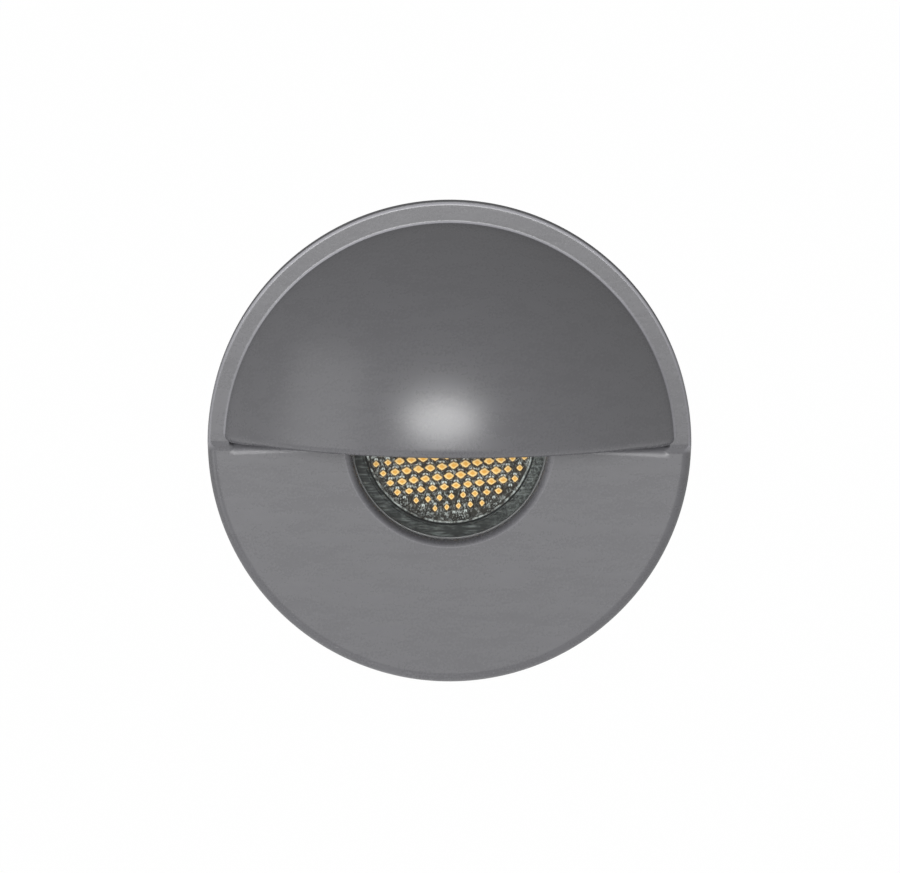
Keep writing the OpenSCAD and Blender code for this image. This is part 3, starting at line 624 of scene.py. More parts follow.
def phosphor_gel(settings):
    """Yellow phosphor in silicone, slightly grainy."""
    f = Finish("led_phosphor")
    grain = f.noise(0.12, detail=3.0)
    base = f.mix(grain, shaded(tuple(settings.phosphor), 0.85), (0.95, 0.75, 0.2))
    return f.done(f.node("BsdfPrincipled", {
        "Base Color": base,
        "Roughness": grain * 0.1 + 0.25,
        "Coat Weight": 0.8,
        "Normal": f.bump(grain, 0.004),
    }))


def circuit_board(name, mask_colour, copper_colour):
    """Solder mask over traces: bands where the fraction of a noise times nine is high, slightly raised."""
    f = Finish(name)
    route = f.noise(2.2, detail=0.0)
    lines = (route * 9.0).fraction().between(0.42, 0.5)
    fine = f.noise(0.2, detail=3.0)
    base = f.mix(lines, shaded(mask_colour, 0.9), copper_colour)
    return f.done(f.node("BsdfPrincipled", {
        "Base Color": f.mix(fine * 0.2, base, shaded(mask_colour, 1.3)),
        "Roughness": fine * 0.1 + 0.3,
        "Coat Weight": 0.4,
        "Normal": f.bump(lines * 0.8 + fine * 0.2, 0.03),
    }))


# Plain finishes: a colour or the name of one in BodySettings, the roughness, and what else differs
PLAIN = {
    "black_silicone": ((0.10, 0.105, 0.105), 0.35, dict(tint=0.3, relief=0.006, coat=0.5)),
    "plated_steel": ("steel", 0.32, dict(metal=1.0, grain=0.25, stretch=(1, 3, 1), tint=0.1, relief=0.004)),
    "grey_silicone": ((0.30, 0.33, 0.38), 0.6, dict(grain=0.25)),
    "bare_cast_aluminium": (
        "aluminium", 0.42, dict(metal=0.95, grain=0.45, tint=0.14, spread=0.10, relief=0.02, blotch=5.0)),
    "red_insulation": ((0.45, 0.02, 0.015), 0.4, dict(relief=0.005)),
    "black_insulation": ((0.02, 0.02, 0.02), 0.4, dict(relief=0.005)),
    "black_epoxy": ((0.02, 0.02, 0.022), 0.5, dict(grain=0.15)),
    "ferrite": ((0.05, 0.05, 0.055), 0.6, dict(grain=0.2, relief=0.02)),
    "capacitor_sleeve": ((0.02, 0.035, 0.10), 0.3, dict(grain=0.8, relief=0.004, coat=0.6)),
    "green_moulding": ((0.03, 0.22, 0.06), 0.4, dict(relief=0.008)),
    "black_nylon": ((0.024, 0.024, 0.025), 0.42, dict(tint=0.2, relief=0.014)),
    "gland_rubber": ("rubber", 0.6, dict(relief=0.008, sheen=0.15)),
    "foam_gasket": (
        (0.028, 0.028, 0.029), 0.85, dict(grain=0.28, tint=0.35, relief=0.06, blotch=1.2, sheen=0.2)),
    "spring_steel": (
        "steel", 0.28, dict(metal=1.0, grain=0.2, stretch=(4, 4, 1), tint=0.08, spread=0.07, relief=0.003)),
    "spring_wire": ("steel", 0.25, dict(metal=1.0, grain=0.15, relief=0.003, shade=0.9)),
    "pad_rubber": ("rubber", 0.7, dict(grain=0.25, tint=0.25, relief=0.02, sheen=0.2)),
}
FINISHES = {}


def make_finish(key):
    """The material of a slot: one of the special finishes, or a plain one from the table."""
    scene = bpy.context.scene
    special = {
        "grey_cast_metal": lambda: powder_coat(scene.light_faceplate),
        "window_glass": clear_glass,
        "black_moulding": black_with_painted_streaks,
        "clear_optic": lambda: beaded_clear(scene.light_optic),
        "led_phosphor": lambda: phosphor_gel(scene.light_optic),
        "white_board": lambda: circuit_board(key, (0.75, 0.76, 0.74), (0.62, 0.63, 0.60)),
        "green_board": lambda: circuit_board(key, (0.02, 0.12, 0.05), (0.10, 0.22, 0.09)),
    }
    if key in special:
        return special[key]()
    base, rough, more = PLAIN[key]
    return plain_finish(key, getattr(scene.light_body, base) if isinstance(base, str) else base, rough, **more)


def finish_for(key):
    """The material of a slot, made on first use."""
    if key not in FINISHES:
        FINISHES[key] = make_finish(key)
    return FINISHES[key]


def dress(slot, *nodes):
    """Gives hidden CAD nodes their slot's finish."""
    for node in nodes:
        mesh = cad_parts[node].data
        mesh.materials.clear()
        mesh.materials.append(finish_for(slot))


# ---- faceplate

def highlight_strength(z):
    """Strength of the painted highlight on an edge at a height: more towards the top of the light."""
    return 0.35 + 0.65 * smoothstep((z - 8) / 20)


def recess_edge(r):
    """Height of the recess's lower edge below the axis, at a radius: a shallow arch."""
    middle, arch_radius = 0.50, 495
    return middle + r * r / (2 * arch_radius)


def recess_front(r, z, raised):
    """How far forward the plate's front is at a radius and height. A recess follows its lower edge: the front
    bends down to it along a parabola and then along a cubic to the floor. The recess's ends are steep beside
    the hood and soft below it. Also how matt the front is here, from 0 to 1."""
    ahead, bend, fall = 0.6, 0.9, 1.3
    down = np.clip(ahead + z + recess_edge(r), 0, bend + fall)
    # Depth and slope where the parabola ends, the cubic's further depth, and the floor's
    reached, slope, further, floor = 0.146, 0.421, 0.654, 0.8
    s = np.clip((down - bend) / fall, 0, 1)
    cubic = reached + further * (3 * s**2 - 2 * s**3) + slope * (s**3 - 2 * s**2 + s)
    depth = np.where(down < bend, 0.18 * down**2, cubic)
    # The ends' half width and place, which move with the softness
    soft = smoothstep(-z / 0.6)
    half = 0.02 + 0.48 * soft
    inside = 1 - smoothstep((r - (RECESS_R - 0.28 * soft - half)) / (2 * half))
    matt = 0.55 * inside * smoothstep(down / 0.3)
    return FACE_F + raised * (1 - inside) - depth * (FACE_F - FLOOR_F) / floor * inside, matt


def plate_shell(settings):
    """The plate as one closed grid. Its columns follow the section from the window's seat over the back, the
    outer edge and the front to the lens hole. Its rows are rays round the axis, and two of them follow the
    recess's lower edge, where the front drops to the recess's floor. Over the recess's ends the front rises
    along a smooth ramp to the rim, and the outer edge's radius falls from 1.2 to 0.45 with it. Also each point's
    trim: how far it is on the outer side or back, and how much painted light lies on it: a painted highlight on
    the rim's edge, and fainter painted light on the hole's edge and in the recess."""
    radius, hole, edge = settings.radius / MM, settings.hole_radius / MM, settings.hole_edge / MM
    # Rows: distance from the recess's edge in millimetres close to it, then even angles
    near = np.concatenate([np.arange(0, 0.68, 0.05), [0.75, 0.9, 1.1, 1.5]])
    close = np.concatenate([np.arange(0.05, 1.0, 0.05), np.arange(1.0, 2.5, 0.15)])

    def half(low, distances, middle):
        """Rows of the plate's lower or upper half: v goes from 0 to 1 along it, and d is the distance if close."""
        first, last = (1, 0) if low else (0, 1)
        ends = [[(low, v, d) for d in ds] for v, ds in ((first, distances), (last, distances[::-1]))]
        return ends[0] + [(low, v, None) for v in middle] + ends[1]

    rows = half(True, near, np.linspace(1, 0, 150)[1:-1]) + half(False, close, np.linspace(0, 1, 170)[1:-1])
    # Columns of the front: the hole's edge, which meets the front at a crease of 15 degrees, and fixed radii
    a = np.radians(np.linspace(180, 105, 15))
    arc_r, arc_f = hole + edge + edge * np.cos(a), FACE_F + edge * (np.sin(a) - math.sin(a[-1]))
    flat_r = np.array([14.0, 14.1, 15, 17, 20, 23, 25.5, 27.2, 27.8, 28.1, 28.25, 28.4, 28.5, 28.6, 28.7, 28.78,
                       28.83, 28.86, 28.9, 28.93, 29.0, 29.1, 29.25, 29.5, 30.0, 30.3])
    front_r = np.concatenate([arc_r, flat_r])
    back = np.array([
        [radius, BACK_F + 0.3], [radius - 0.3, BACK_F], [radius - 0.5, BACK_F], [LAND_R + 0.1, BACK_F],
        [LAND_R, BACK_F], [LAND_R, 0.9], [LAND_R, 0.1], [LAND_R, 0], [LAND_R - 0.1, 0], [SEAT_R + 0.1, 0],
        [SEAT_R, 0], [SEAT_R, 0.1], [SEAT_R, LIP_BACK_F], [hole, LIP_BACK_F]])
    turn = np.radians(np.linspace(0, 90, 12))
    fronts, backs = len(front_r) + 1, len(back)
    sheet, trim = [], []
    for low, v, d in rows:
        # Distance from the recess's edge: this row's, or the one where even angles start
        side = d if d is not None else (1.5 if low else 2.45)

        def ray(r):
            """Angle of this row at each radius."""
            alpha = np.arcsin(recess_edge(r) / r)
            skip = alpha + side / r if low else side / r - alpha
            span = math.pi - 2 * skip
            return -(skip + v * span) if low else skip + v * span

        def rise(r):
            """How far the rim is raised here, from 0 to 1."""
            z = r * np.sin(ray(r))
            return smoothstep((z - RAMP[0]) / (RAMP[1] - RAMP[0])) * (0 if low else 1)

        top = float(rise(np.array([radius]))[0])
        # The outer edge is rounder where the rim isn't raised
        r_edge = 1.2 - 0.75 * top
        outer_r = radius - r_edge + r_edge * np.sin(turn)
        outer_f = FACE_F + RIM_RAISE * top - r_edge + r_edge * np.cos(turn)
        front_f, matt = recess_front(front_r, front_r * np.sin(ray(front_r)), RIM_RAISE * rise(front_r))
        front_f[: len(arc_r)] = np.minimum(front_f[: len(arc_r)], arc_f)
        before_edge = [radius - r_edge - 0.06]
        r = np.concatenate([front_r, before_edge, outer_r, back[:, 0]])
        f = np.concatenate([front_f, [FACE_F + RIM_RAISE * top], outer_f, back[:, 1]])
        t = ray(r)
        sheet.append(around(r, t, -f))
        # Trim: matt in the recess and from the outer edge's turn backwards; painted light on the hole's edge and
        # in the recess's shade, and a painted highlight on the rim's edge, which is strongest at the top
        outer = np.concatenate([matt, [0], smoothstep((turn - 1.0) / 0.4), np.ones(backs)])
        strength = top * highlight_strength(radius * math.sin(float(t[-1])))
        pale = strength * smoothstep(turn / 0.25) * (1 - smoothstep((turn - 0.9) / 0.25))
        painted_lift = np.where(np.arange(fronts) < len(arc_r), 0.16, 0.0)
        painted_lift[:-1] += 0.22 * matt
        painted_light = np.concatenate([painted_lift, pale, np.zeros(backs)])
        trim.append(np.stack([outer, painted_light, 0 * outer], -1))
    return loop_shell(np.array(sheet)), np.concatenate(trim)


def hood_shell(settings):
    """The hood: at each direction round the upright axis through the sphere's centre, a closed section of an
    outer arc down to the lip, a half circle round the lip, and an inner arc up again, both arcs ending inside
    the plate. The whole is leant forwards, as its lip is."""
    outer, wall = settings.hood_radius / MM, settings.hood_wall / MM
    lean, sink = HOOD_LEAN, 2.2
    middle = outer - wall / 2
    over_centre = (-HOOD_CENTRE[1] + (FACE_F - HOOD_CENTRE[0]) * math.tan(lean)) * math.cos(lean)
    lip = math.asin((over_centre + wall / 2) / middle)
    phi = np.radians(np.linspace(-51, 51, 301))[:, None]

    def top(radius):
        """Elevation at which an arc of this radius reaches the depth where the wall ends in the plate."""
        a, b = radius * np.cos(phi) * math.cos(lean), radius * math.sin(lean)
        return np.arctan2(b, a) + np.arccos(np.clip((sink - HOOD_CENTRE[0]) / np.hypot(a, b), -1, 1))

    def arc(radius, start, end, steps):
        """Reach and height of an arc between two elevations."""
        e = start + (end - start) * np.linspace(0, 1, steps)
        return radius * np.cos(e), radius * np.sin(e)

    a = np.linspace(0, math.pi, 25)[1:-1]
    down = arc(outer, top(outer), lip, 110)
    lip_round = (
        middle * math.cos(lip) + wall / 2 * np.cos(lip - a) + 0 * phi,
        middle * math.sin(lip) + wall / 2 * np.sin(lip - a) + 0 * phi,
    )
    up = arc(outer - wall, lip, top(outer - wall), 60)
    reach, height = (np.concatenate(parts, 1) for parts in zip(down, lip_round, up))
    ahead = reach * np.cos(phi)
    depth = HOOD_CENTRE[0] + ahead * math.cos(lean) + height * math.sin(lean)
    z = HOOD_CENTRE[1] - ahead * math.sin(lean) + height * math.cos(lean)
    # A small casting flaw on the lip: a pit about half a millimetre across
    x = reach * np.sin(phi)
    pit_x, pit_z, pit_width, pit_height, pit_depth = -15.1, -0.35, 0.28, 0.35, 0.16
    flaw = np.exp(-(((x - pit_x) / pit_width) ** 2 + ((z - pit_z) / pit_height) ** 2))
    # The lip's ends reach a little lower than its arch
    dip = 0.36
    z = z - dip * smoothstep((np.abs(x) - 24.0) / 4.0) * smoothstep(1 - (z + 1.5) / 3.0)
    return capped_shell(np.stack([x, -(depth - pit_depth * flaw), z], -1))


def hood_fillet(settings):
    """The fillet round the hood's foot: a hollow quarter round carried half round the hood's axis.
    It sinks into the plate at both of its ends. Also each point's trim: a painted highlight along the fillet's
    arc, strongest towards the top."""
    radius, hood = 0.5, settings.hood_radius / MM
    level, start, foot = FACE_F + RIM_RAISE, radius + 0.3, 0.3
    up, span = level + radius - HOOD_CENTRE[0], hood + radius
    out = math.sqrt(span * span - up * up)
    lean = math.atan2(up, out)
    arc = np.linspace(math.pi + lean + 0.05, 1.5 * math.pi, 14)
    r = np.concatenate([[out - start * math.cos(lean)], out + radius * np.cos(arc), [out, out - 2.0]])
    f = np.concatenate([[level + radius - start * math.sin(lean)], level + radius + radius * np.sin(arc),
                        [level - foot, level - foot]])
    b = np.radians(np.linspace(0, 180, 181))[:, None]
    ends = smoothstep(np.minimum(b, math.pi - b) / math.radians(2.5))
    depth = f - 0.95 * (1 - ends)
    shape = capped_shell(around(r, b, -depth, (0, HOOD_CENTRE[1])))
    # A painted highlight along the fillet's arc, stronger towards the top of the light
    pale = np.concatenate([[0], np.sin(np.linspace(0.25, 1, len(arc)) * math.pi), [0, 0]])
    pale = (pale * highlight_strength(30 * np.sin(b))).ravel()
    return shape, np.stack([0 * pale, pale, 0 * pale], -1)


class BuildFaceplate(bpy.types.Operator):
    """Build the cast faceplate with its hood"""

    bl_idname = "steplight.faceplate"
    bl_label = "Faceplate"

    def execute(self, context):
        settings = context.scene.light_faceplate
        plate, plate_trim = plate_shell(settings)
        hood = hood_shell(settings)
        fillet, fillet_trim = hood_fillet(settings)
        trim = np.concatenate([plate_trim, np.zeros((len(hood[0]), 3)), fillet_trim])
        shape = joined([plate, hood, fillet])
        make_piece("faceplate_casting", shape, "grey_cast_metal", "faceplate", sharp=12, attributes={"trim": trim})
        return {"FINISHED"}


# ---- window and optic

class BuildWindow(bpy.types.Operator):
    """Build the glass behind the lens hole and its gasket"""

    bl_idname = "steplight.window"
    bl_label = "Window"

    def execute(self, context):
        glass = solid_turned(np.array([[13.7, -2.0], [13.95, -2.0], [14.2, -1.75], [14.2, -0.25],
                                       [13.95, 0.0], [13.7, 0.0]]), 128)
        make_piece("window_glass", glass, "window_glass", "window")
        turned_piece("window_seal", "black_silicone", "window_gasket", [
            (12.66, -2.38, 0.12), (14.2, -2.38, 0), (14.2, -2.02, 0), (12.66, -2.02, 0.12)], 160)
        return {"FINISHED"}


def bead_places(settings):
    """Centres of the beads: points of a hexagonal lattice, turned a little, that lie inside the field or just
    outside it."""
    pitch, field = settings.pitch / MM, settings.field / MM
    turn, past_edge, shift = math.radians(7.1), 0.25, (0.60, 0.41)
    j, i = np.mgrid[-10:11, -10:11]
    u = pitch * (i + shift[0] + 0.5 * (j % 2))
    v = pitch * math.sqrt(3) / 2 * (j + shift[1])
    x, z = u * math.cos(turn) - v * math.sin(turn), u * math.sin(turn) + v * math.cos(turn)
    keep = np.hypot(x, z) < field + past_edge
    return np.stack([x[keep], z[keep]], -1)


def optic_shape(settings):
    """The optic: a turned body with a fine raised rim, and a cap of a sphere for each bead. Also each point's
    place on its bead and how far the lozenge shows there, from 1 in the field to 0 past its edge, and -1 on
    the rim."""
    base_y, sides = 0.4, 14
    body = solid_turned(np.array([
        [0.5, base_y], [10.74, base_y], [10.78, base_y], [10.84, 0.34], [10.92, 0.14], [10.98, 0.08],
        [11.06, 0.06], [11.12, 0.09], [11.17, 0.2], [11.2, 0.4], [11.2, 2.1], [10.3, 2.1], [9.6, 4.3], [8.4, 6.6],
        [6.7, 8.9], [4.6, 10.9], [4.2, 11.4], [2.85, 11.4], [2.6, 7.9], [0.4, 6.9]]), 160)
    # One bead: rings of points on its sphere, a skirt into the body and a pole
    centres = bead_places(settings)
    foot, height = settings.bead_radius / MM, settings.bead_height / MM
    ball = (foot**2 + height**2) / (2 * height)
    a = np.arange(sides) * TURN / sides
    r = foot * np.array([0.22, 0.5, 0.76, 1.0])[:, None]
    rise = np.sqrt(ball**2 - r**2) - (ball - height)
    sunk = 0.12
    one = np.concatenate([around(r, a, -rise).reshape(-1, 3), around(foot, a, sunk), [[0, -height, 0]]])
    ring = np.arange(sides)
    tip = np.stack([(ring + 1) % sides, ring, np.full(sides, len(one) - 1)], -1)
    points, faces = outward(one, [grid_faces(5, sides, False, True), tip, 4 * sides + ring[None]])
    # The same bead at every place
    shift = (np.arange(len(centres)) * len(one))[:, None, None]
    where = np.stack([centres[:, 0], np.full(len(centres), base_y), centres[:, 1]], -1)
    beads = (where[:, None] + points).reshape(-1, 3), [(f + shift).reshape(-1, f.shape[1]) for f in faces]
    # Half width and half height of the lozenges, smaller towards the bottom and towards the ends of the rows
    x, z = centres.T
    ends = smoothstep((np.abs(x) - 6.5) / 2.0)
    lows = [3.5, 4.8, 6.3, 7.5, 8.8]
    wide = np.interp(-z, lows, [0.70, 0.70, 0.60, 0.40, 0.34]) * (1 - ends) + 0.43 * ends
    tall = np.interp(-z, lows, [0.50, 0.50, 0.43, 0.44, 0.42]) * (1 - ends) + 0.43 * ends
    limit = 9.98 + 0.35 * smoothstep((z + 8) / 3)
    shows = np.clip((limit - np.hypot(x, z)) / 0.15, 0, 1)
    marks = np.stack([points[:, 0] / wide[:, None], points[:, 2] / tall[:, None],
                      shows[:, None] + 0 * points[:, 0]], -1).reshape(-1, 3)
    body_r = np.hypot(body[0][:, 0], body[0][:, 2])
    rim = (body_r > 10.86) & (body_r < 11.15) & (body[0][:, 1] < 0.3)
    far = np.full(len(body_r), 9.0)
    return joined([body, beads]), np.concatenate([np.stack([far, far, np.where(rim, -1.0, 0.0)], -1), marks])


class BuildOptic(bpy.types.Operator):
    """Build the beaded optic, its black holder and the LED behind it"""

    bl_idname = "steplight.optic"
    bl_label = "Optic and LED"

    def execute(self, context):
        shape, marks = optic_shape(context.scene.light_optic)
        make_piece("beaded_lens", shape, "clear_optic", "beaded_optic", attributes={"bead": marks})
        turned_piece("optic_cup", "black_moulding", "optic_holder", [
            (11.36, 0.05, 0.1), (11.50, 0.02, 0.05), (11.60, 0.10, 0.05), (11.72, 0.02, 0.05), (14.6, 0.02, 0.15),
            (14.6, 11.6, 0.1), (12.6, 11.6, 0.1), (12.6, 4.1, 0.1), (10.6, 3.1, 0.1), (10.6, 2.1, 0.05),
            (11.35, 2.1, 0.05)], 160)
        dress("led_phosphor", "led_package")
        dress("white_board", "led_board")
        dress("plated_steel", "led_board_screws")
        dress("grey_silicone", "thermal_pad")
        return {"FINISHED"}


# ---- body

def round_axis(radius, angles):
    """Places at a radius and at angles in degrees round the light's axis, each as x and z."""
    return [(radius * math.cos(math.radians(a)), radius * math.sin(math.radians(a))) for a in angles]


def screw_bosses(low, high, low_edge, high_edge):
    """The bosses round the rear cap's screws, on the housing or on the cap, with their end edges rounded."""
    core, radius = 0.2, 2.6
    outline = rounded([(core, low, 0), (radius, low, low_edge), (radius, high, high_edge), (core, high, 0)])
    return [turned(outline, 48, at) for at in round_axis(*CAP_SCREWS)]


def housing_shape():
    """The housing: a turned collar, barrel and shelf, nine drafted fins above and nine below with rounded
    ends, the bosses of the rear cap's screws, the driver's posts and the pierced ears of the hinges."""
    shells = [turned(rounded([
        (0.3, 13.7, 0), (BORE_R, 13.7, 0.3), (BORE_R, 0, 0.1), (16.35, 0, 0), (16.35, 1.05, 0.2),
        (17.45, 1.05, 0.2), (17.45, 0, 0), (COLLAR_R, 0, 0.2), (COLLAR_R, COLLAR_Y, 0.45),
        (BARREL_R, COLLAR_Y, 0.7), (BARREL_R, BODY_Y, 0.25), (BORE_R, BODY_Y, 0.1), (BORE_R, 16.2, 0.5),
        (0.3, 16.2, 0)]), 192)]
    fins, spacing, start, end, boss_start = 9, 12.5, 8.8, 26.0, 26
    fin = rounded([(16.0, -0.68, 0), (18.1, -0.42, 0.3), (18.1, 0.42, 0.3), (16.0, 0.68, 0)])
    for middle in (90, 270):
        for i in range(fins):
            a = math.radians(middle + spacing * (i - (fins - 1) / 2))
            turn = np.array([[math.cos(a), math.sin(a)], [-math.sin(a), math.cos(a)]])
            shells.append(prism(fin, start, end, 0.3, lambda o, h: np.insert(o @ turn, 1, h, axis=1)))
    shells += screw_bosses(boss_start, BODY_Y, 1.1, 0.12)
    post = np.array([[0.9, 15.8], [2, 15.8], [2, 20.2], [0.9, 20.2]])
    shells += [turned(post, 32, at) for at in round_axis(*POSTS)]
    ear = rounded([(BORE_R, 5.6, 0), (20.85, 5.6, 0.2), (20.85, 11.6, 1.5), (BORE_R, 11.6, 0)], 8)
    bore, thickness, edge = 0.83, 1.2, 0.12
    for side in (1, -1):
        for low in (4.3, -5.5):
            shells.append(pierced(ear, (*HINGE, bore), low, low + thickness, edge,
                                  lambda o, h: np.stack([side * o[:, 0], o[:, 1], h], -1)))
    return joined(shells)


class BuildHousing(bpy.types.Operator):
    """Build the finned housing, the rear cap, their screws and the mounting gasket"""

    bl_idname = "steplight.housing"
    bl_label = "Housing"

    def execute(self, context):
        make_piece("finned_housing", housing_shape(), "bare_cast_aluminium", "housing")
        cap = [turned(rounded([
            (5, 31, 0.1), (7, 31, 0.1), (7, BODY_Y, 0.2), (12.9, BODY_Y, 0.2), (12.9, 30, 0.1), (14.85, 30, 0.1),
            (14.85, BODY_Y, 0), (BARREL_R, BODY_Y, 0.1), (BARREL_R, CAP_Y, 0.45), (5, CAP_Y, 0.15)]), 192)]
        cap += screw_bosses(BODY_Y, CAP_Y, 0.12, 0.4)
        make_piece("rear_cover", joined(cap), "bare_cast_aluminium", "rear_cap")
        for name, ring, size, seat, depth, node in (
            ("cover_screws", CAP_SCREWS, M2, CAP_Y, 7.5, "rear_cap_screws"),
            ("front_screws", FACE_SCREWS, M25, COLLAR_Y, 8.3, "faceplate_screws"),
        ):
            screws = [screw(at, size, seat, depth) for at in round_axis(*ring)]
            make_piece(name, joined(screws), "plated_steel", node)
        turned_piece("foam_ring", "foam_gasket", "mounting_gasket", [
            (23.4, -BACK_F, 0.2), (29.6, -BACK_F, 0.2), (29.6, 0, 0.2), (23.4, 0, 0.2)], 192)
        dress("black_silicone", "housing_oring", "rear_cap_oring")
        return {"FINISHED"}


class BuildDriver(bpy.types.Operator):
    """Dress the driver board and its components, which the housing hides"""

    bl_idname = "steplight.driver"
    bl_label = "Driver"

    def execute(self, context):
        dress("green_board", "driver_board")
        dress("plated_steel", "driver_board_screws")
        dress("black_epoxy", "rectifier", "driver_chip")
        dress("ferrite", "inductor")
        dress("capacitor_sleeve", "capacitor")
        dress("green_moulding", "terminal_block")
        dress("red_insulation", "lead_red")
        dress("black_insulation", "lead_black")
        return {"FINISHED"}


class BuildGland(bpy.types.Operator):
    """Build the cable gland: its body, washer, clamping nut and seal"""

    bl_idname = "steplight.gland"
    bl_label = "Cable gland"

    def execute(self, context):
        turned_piece("gland_base", "black_nylon", "gland_body", [
            (3, 31, 0.2), (4.95, 31, 0.2), (4.95, 36.3, 0), (8.6, 36.3, 0.35), (8.6, 39.3, 0.35), (5, 39.3, 0.1),
            (5, 45.3, 0.2), (3.9, 45.3, 0.2), (3.9, 39.9, 0), (3, 39.9, 0)], flats=7.0)
        a = np.radians(np.linspace(10, 90, 10))
        dome = np.stack([4.6 + 2.4 * np.cos(a), 46.1 + 2.4 * np.sin(a)], 1)
        nut = np.concatenate([
            [[5.05, 39.5], [7.35, 39.5], [7.6, 39.62], [8.6, 40.1], [8.6, 45.35]], dome,
            [[3.45, 48.5], [3.28, 48.43], [3.2, 48.25], [3.2, 46.9], [5.05, 46.9]]])
        make_piece("gland_cap", turned(nut, 96, flats=7.0), "black_nylon", "gland_nut")
        turned_piece("gland_washer", "gland_rubber", "gland_oring", [
            (5, CAP_Y, 0), (6.3, CAP_Y, 0.25), (6.3, 36.3, 0.25), (5, 36.3, 0)])
        turned_piece("gland_insert", "gland_rubber", "gland_seal", [
            (2.6, 39.9, 0.3), (3.85, 39.9, 0.1), (3.85, 46.7, 0.1), (2.6, 46.7, 0.4)], 64)
        return {"FINISHED"}


# ---- clips

def hinged(side, along, across, z):
    """Points of a clip's own frame (along the arm from its pin, across it, along the pin) on the light.
    side is 1 on the right and -1 on the left."""
    lean_cos, lean_sin = math.cos(ARM_LEAN), math.sin(ARM_LEAN)
    x = HINGE[0] + along * lean_cos + across * lean_sin
    y = HINGE[1] - along * lean_sin + across * lean_cos
    return np.stack(np.broadcast_arrays(side * x, y, z), -1)


def arm_shape(side):
    """A clip arm: a leaf with a hole, and two knuckles that reach round the pin. A knuckle's outline is the
    larger of a circle and of the box of its web, as seen from the pin."""
    web_end, over, under = 4.2, 1.4, 0.2
    hole, bore, width = (5.0, -1.2, 1.0), (0.0, 0.0, 0.85), 1.0
    leaf = rounded([(2.7, -4.1, 0.1), (11.3, -4.1, 0.8), (11.3, 4.1, 0.8), (2.7, 4.1, 0.1)], 6)
    shells = [pierced(leaf, hole, 0.6, over, 0.16, lambda o, h: hinged(side, o[:, 0], h, o[:, 1]))]
    corners = [math.atan2(over, web_end), math.atan2(-under, web_end), math.asin(over / KNUCKLE_R),
               -math.asin(under / KNUCKLE_R)]
    a = np.unique(np.concatenate([np.radians(np.arange(-178, 180, 6)), corners]))
    with np.errstate(divide="ignore"):
        web = np.minimum(web_end / np.cos(a), np.where(a > 0, over, under) / np.abs(np.sin(a)))
    r = np.maximum(KNUCKLE_R, np.where(np.cos(a) > 0.01, web, 0))
    knuckle = np.stack([r * np.cos(a), r * np.sin(a)], 1)
    for low in (3.1, -4.1):
        shells.append(pierced(knuckle, bore, low, low + width, 0.1,
                              lambda o, h: hinged(side, o[:, 0], o[:, 1], h)))
    return joined(shells)


def pad_shape(side):
    """A rubber sleeve: a rounded section across the arm carried along it, with low ribs round it and both
    ends drawn in along a quarter circle."""
    section = rounded([(-0.1, -4.7, 0.55), (2.1, -4.7, 0.55), (2.1, 4.7, 0.55), (-0.1, 4.7, 0.55)], 5)
    start, end, ease, draw, groove, pitch = 7.3, 11.9, 0.4, 0.35, 0.10, 0.74
    curve = ease * (1 - np.cos(np.linspace(0, math.pi / 2, 8)))
    s = np.concatenate([start + curve, np.linspace(7.75, 11.45, 56), end - curve[::-1]])
    inside = np.minimum(s - start, end - s)
    drawn = draw * (1 - np.sqrt(1 - (1 - np.clip(inside / ease, 0, 1)) ** 2))
    ribs = groove * (0.5 + 0.5 * np.cos(TURN * (s - 9.6) / pitch)) * smoothstep((inside - 0.5) / 0.2)
    layers = [(inset(section, amount), along) for amount, along in zip(drawn + ribs, s)]
    return capped_shell(stacked(layers, lambda o, along: hinged(side, along, o[:, 0], o[:, 1])))


def spring_shape(wire, side):
    """A torsion spring: a leg down to the collar, a coil that advances along Z, and a leg along the arm,
    all on one line that the wire is carried along. side is 1 on the right and -1 on the left."""
    pitch, sweep = 1.05, 4 * TURN + math.radians(90) + ARM_LEAN
    long = pitch * sweep / TURN
    t = np.linspace(0, 1, 161)
    a = math.pi - sweep * t
    turns = np.stack([COIL_R * np.cos(a), COIL_R * np.sin(a), long * (t - 0.5)], -1)
    s = np.linspace(3.95, 0.25, 8)[:, None]
    first = np.concatenate([np.full_like(s, -COIL_R), -s, np.full_like(s, -long / 2)], 1)
    s = np.linspace(0.25, 6.8, 12)[:, None]
    last = np.concatenate([COIL_R * math.sin(ARM_LEAN) + s * math.cos(ARM_LEAN),
                           COIL_R * math.cos(ARM_LEAN) - s * math.sin(ARM_LEAN), np.full_like(s, long / 2)], 1)
    path = np.concatenate([first, turns, last])
    path[:, 2] = np.convolve(np.pad(path[:, 2], 3, "edge"), np.ones(7) / 7, "valid")
    return tube((path + [*HINGE, 0]) * [side, 1, 1], wire / 2)


class BuildClips(bpy.types.Operator):
    """Build the sprung clips: arms, pins, coil springs and rubber pads"""

    bl_idname = "steplight.clips"
    bl_label = "Spring clips"

    def execute(self, context):
        wire = context.scene.light_body.wire / MM
        pin = np.array([
            [0.2, -5.8], [0.62, -5.8], [0.76, -5.73], [0.8, -5.6], [0.8, 5.5], [1.24, 5.5], [1.3, 5.56],
            [1.3, 5.8], [1.15, 6.0], [0.85, 6.1], [0.2, 6.1]])
        for name, side in (("right", 1), ("left", -1)):
            body = "clip_" + name
            make_piece("arm_" + name, arm_shape(side), "spring_steel", "clip_arm_" + name, body=body)
            make_piece("pad_" + name, pad_shape(side), "pad_rubber", "clip_pad_" + name, body=body)
            rod = upright(solid_turned(pin, 48), HINGE[0] * side, HINGE[1])
            make_piece("pin_" + name, rod, "plated_steel", "hinge_pin_" + name)
            coil = spring_shape(wire, side)
            spring = make_piece("coil_spring_" + name, coil, "spring_wire", body=None, weighted=False)
            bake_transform(spring)
            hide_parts("torsion_spring_" + name)
        return {"FINISHED"}


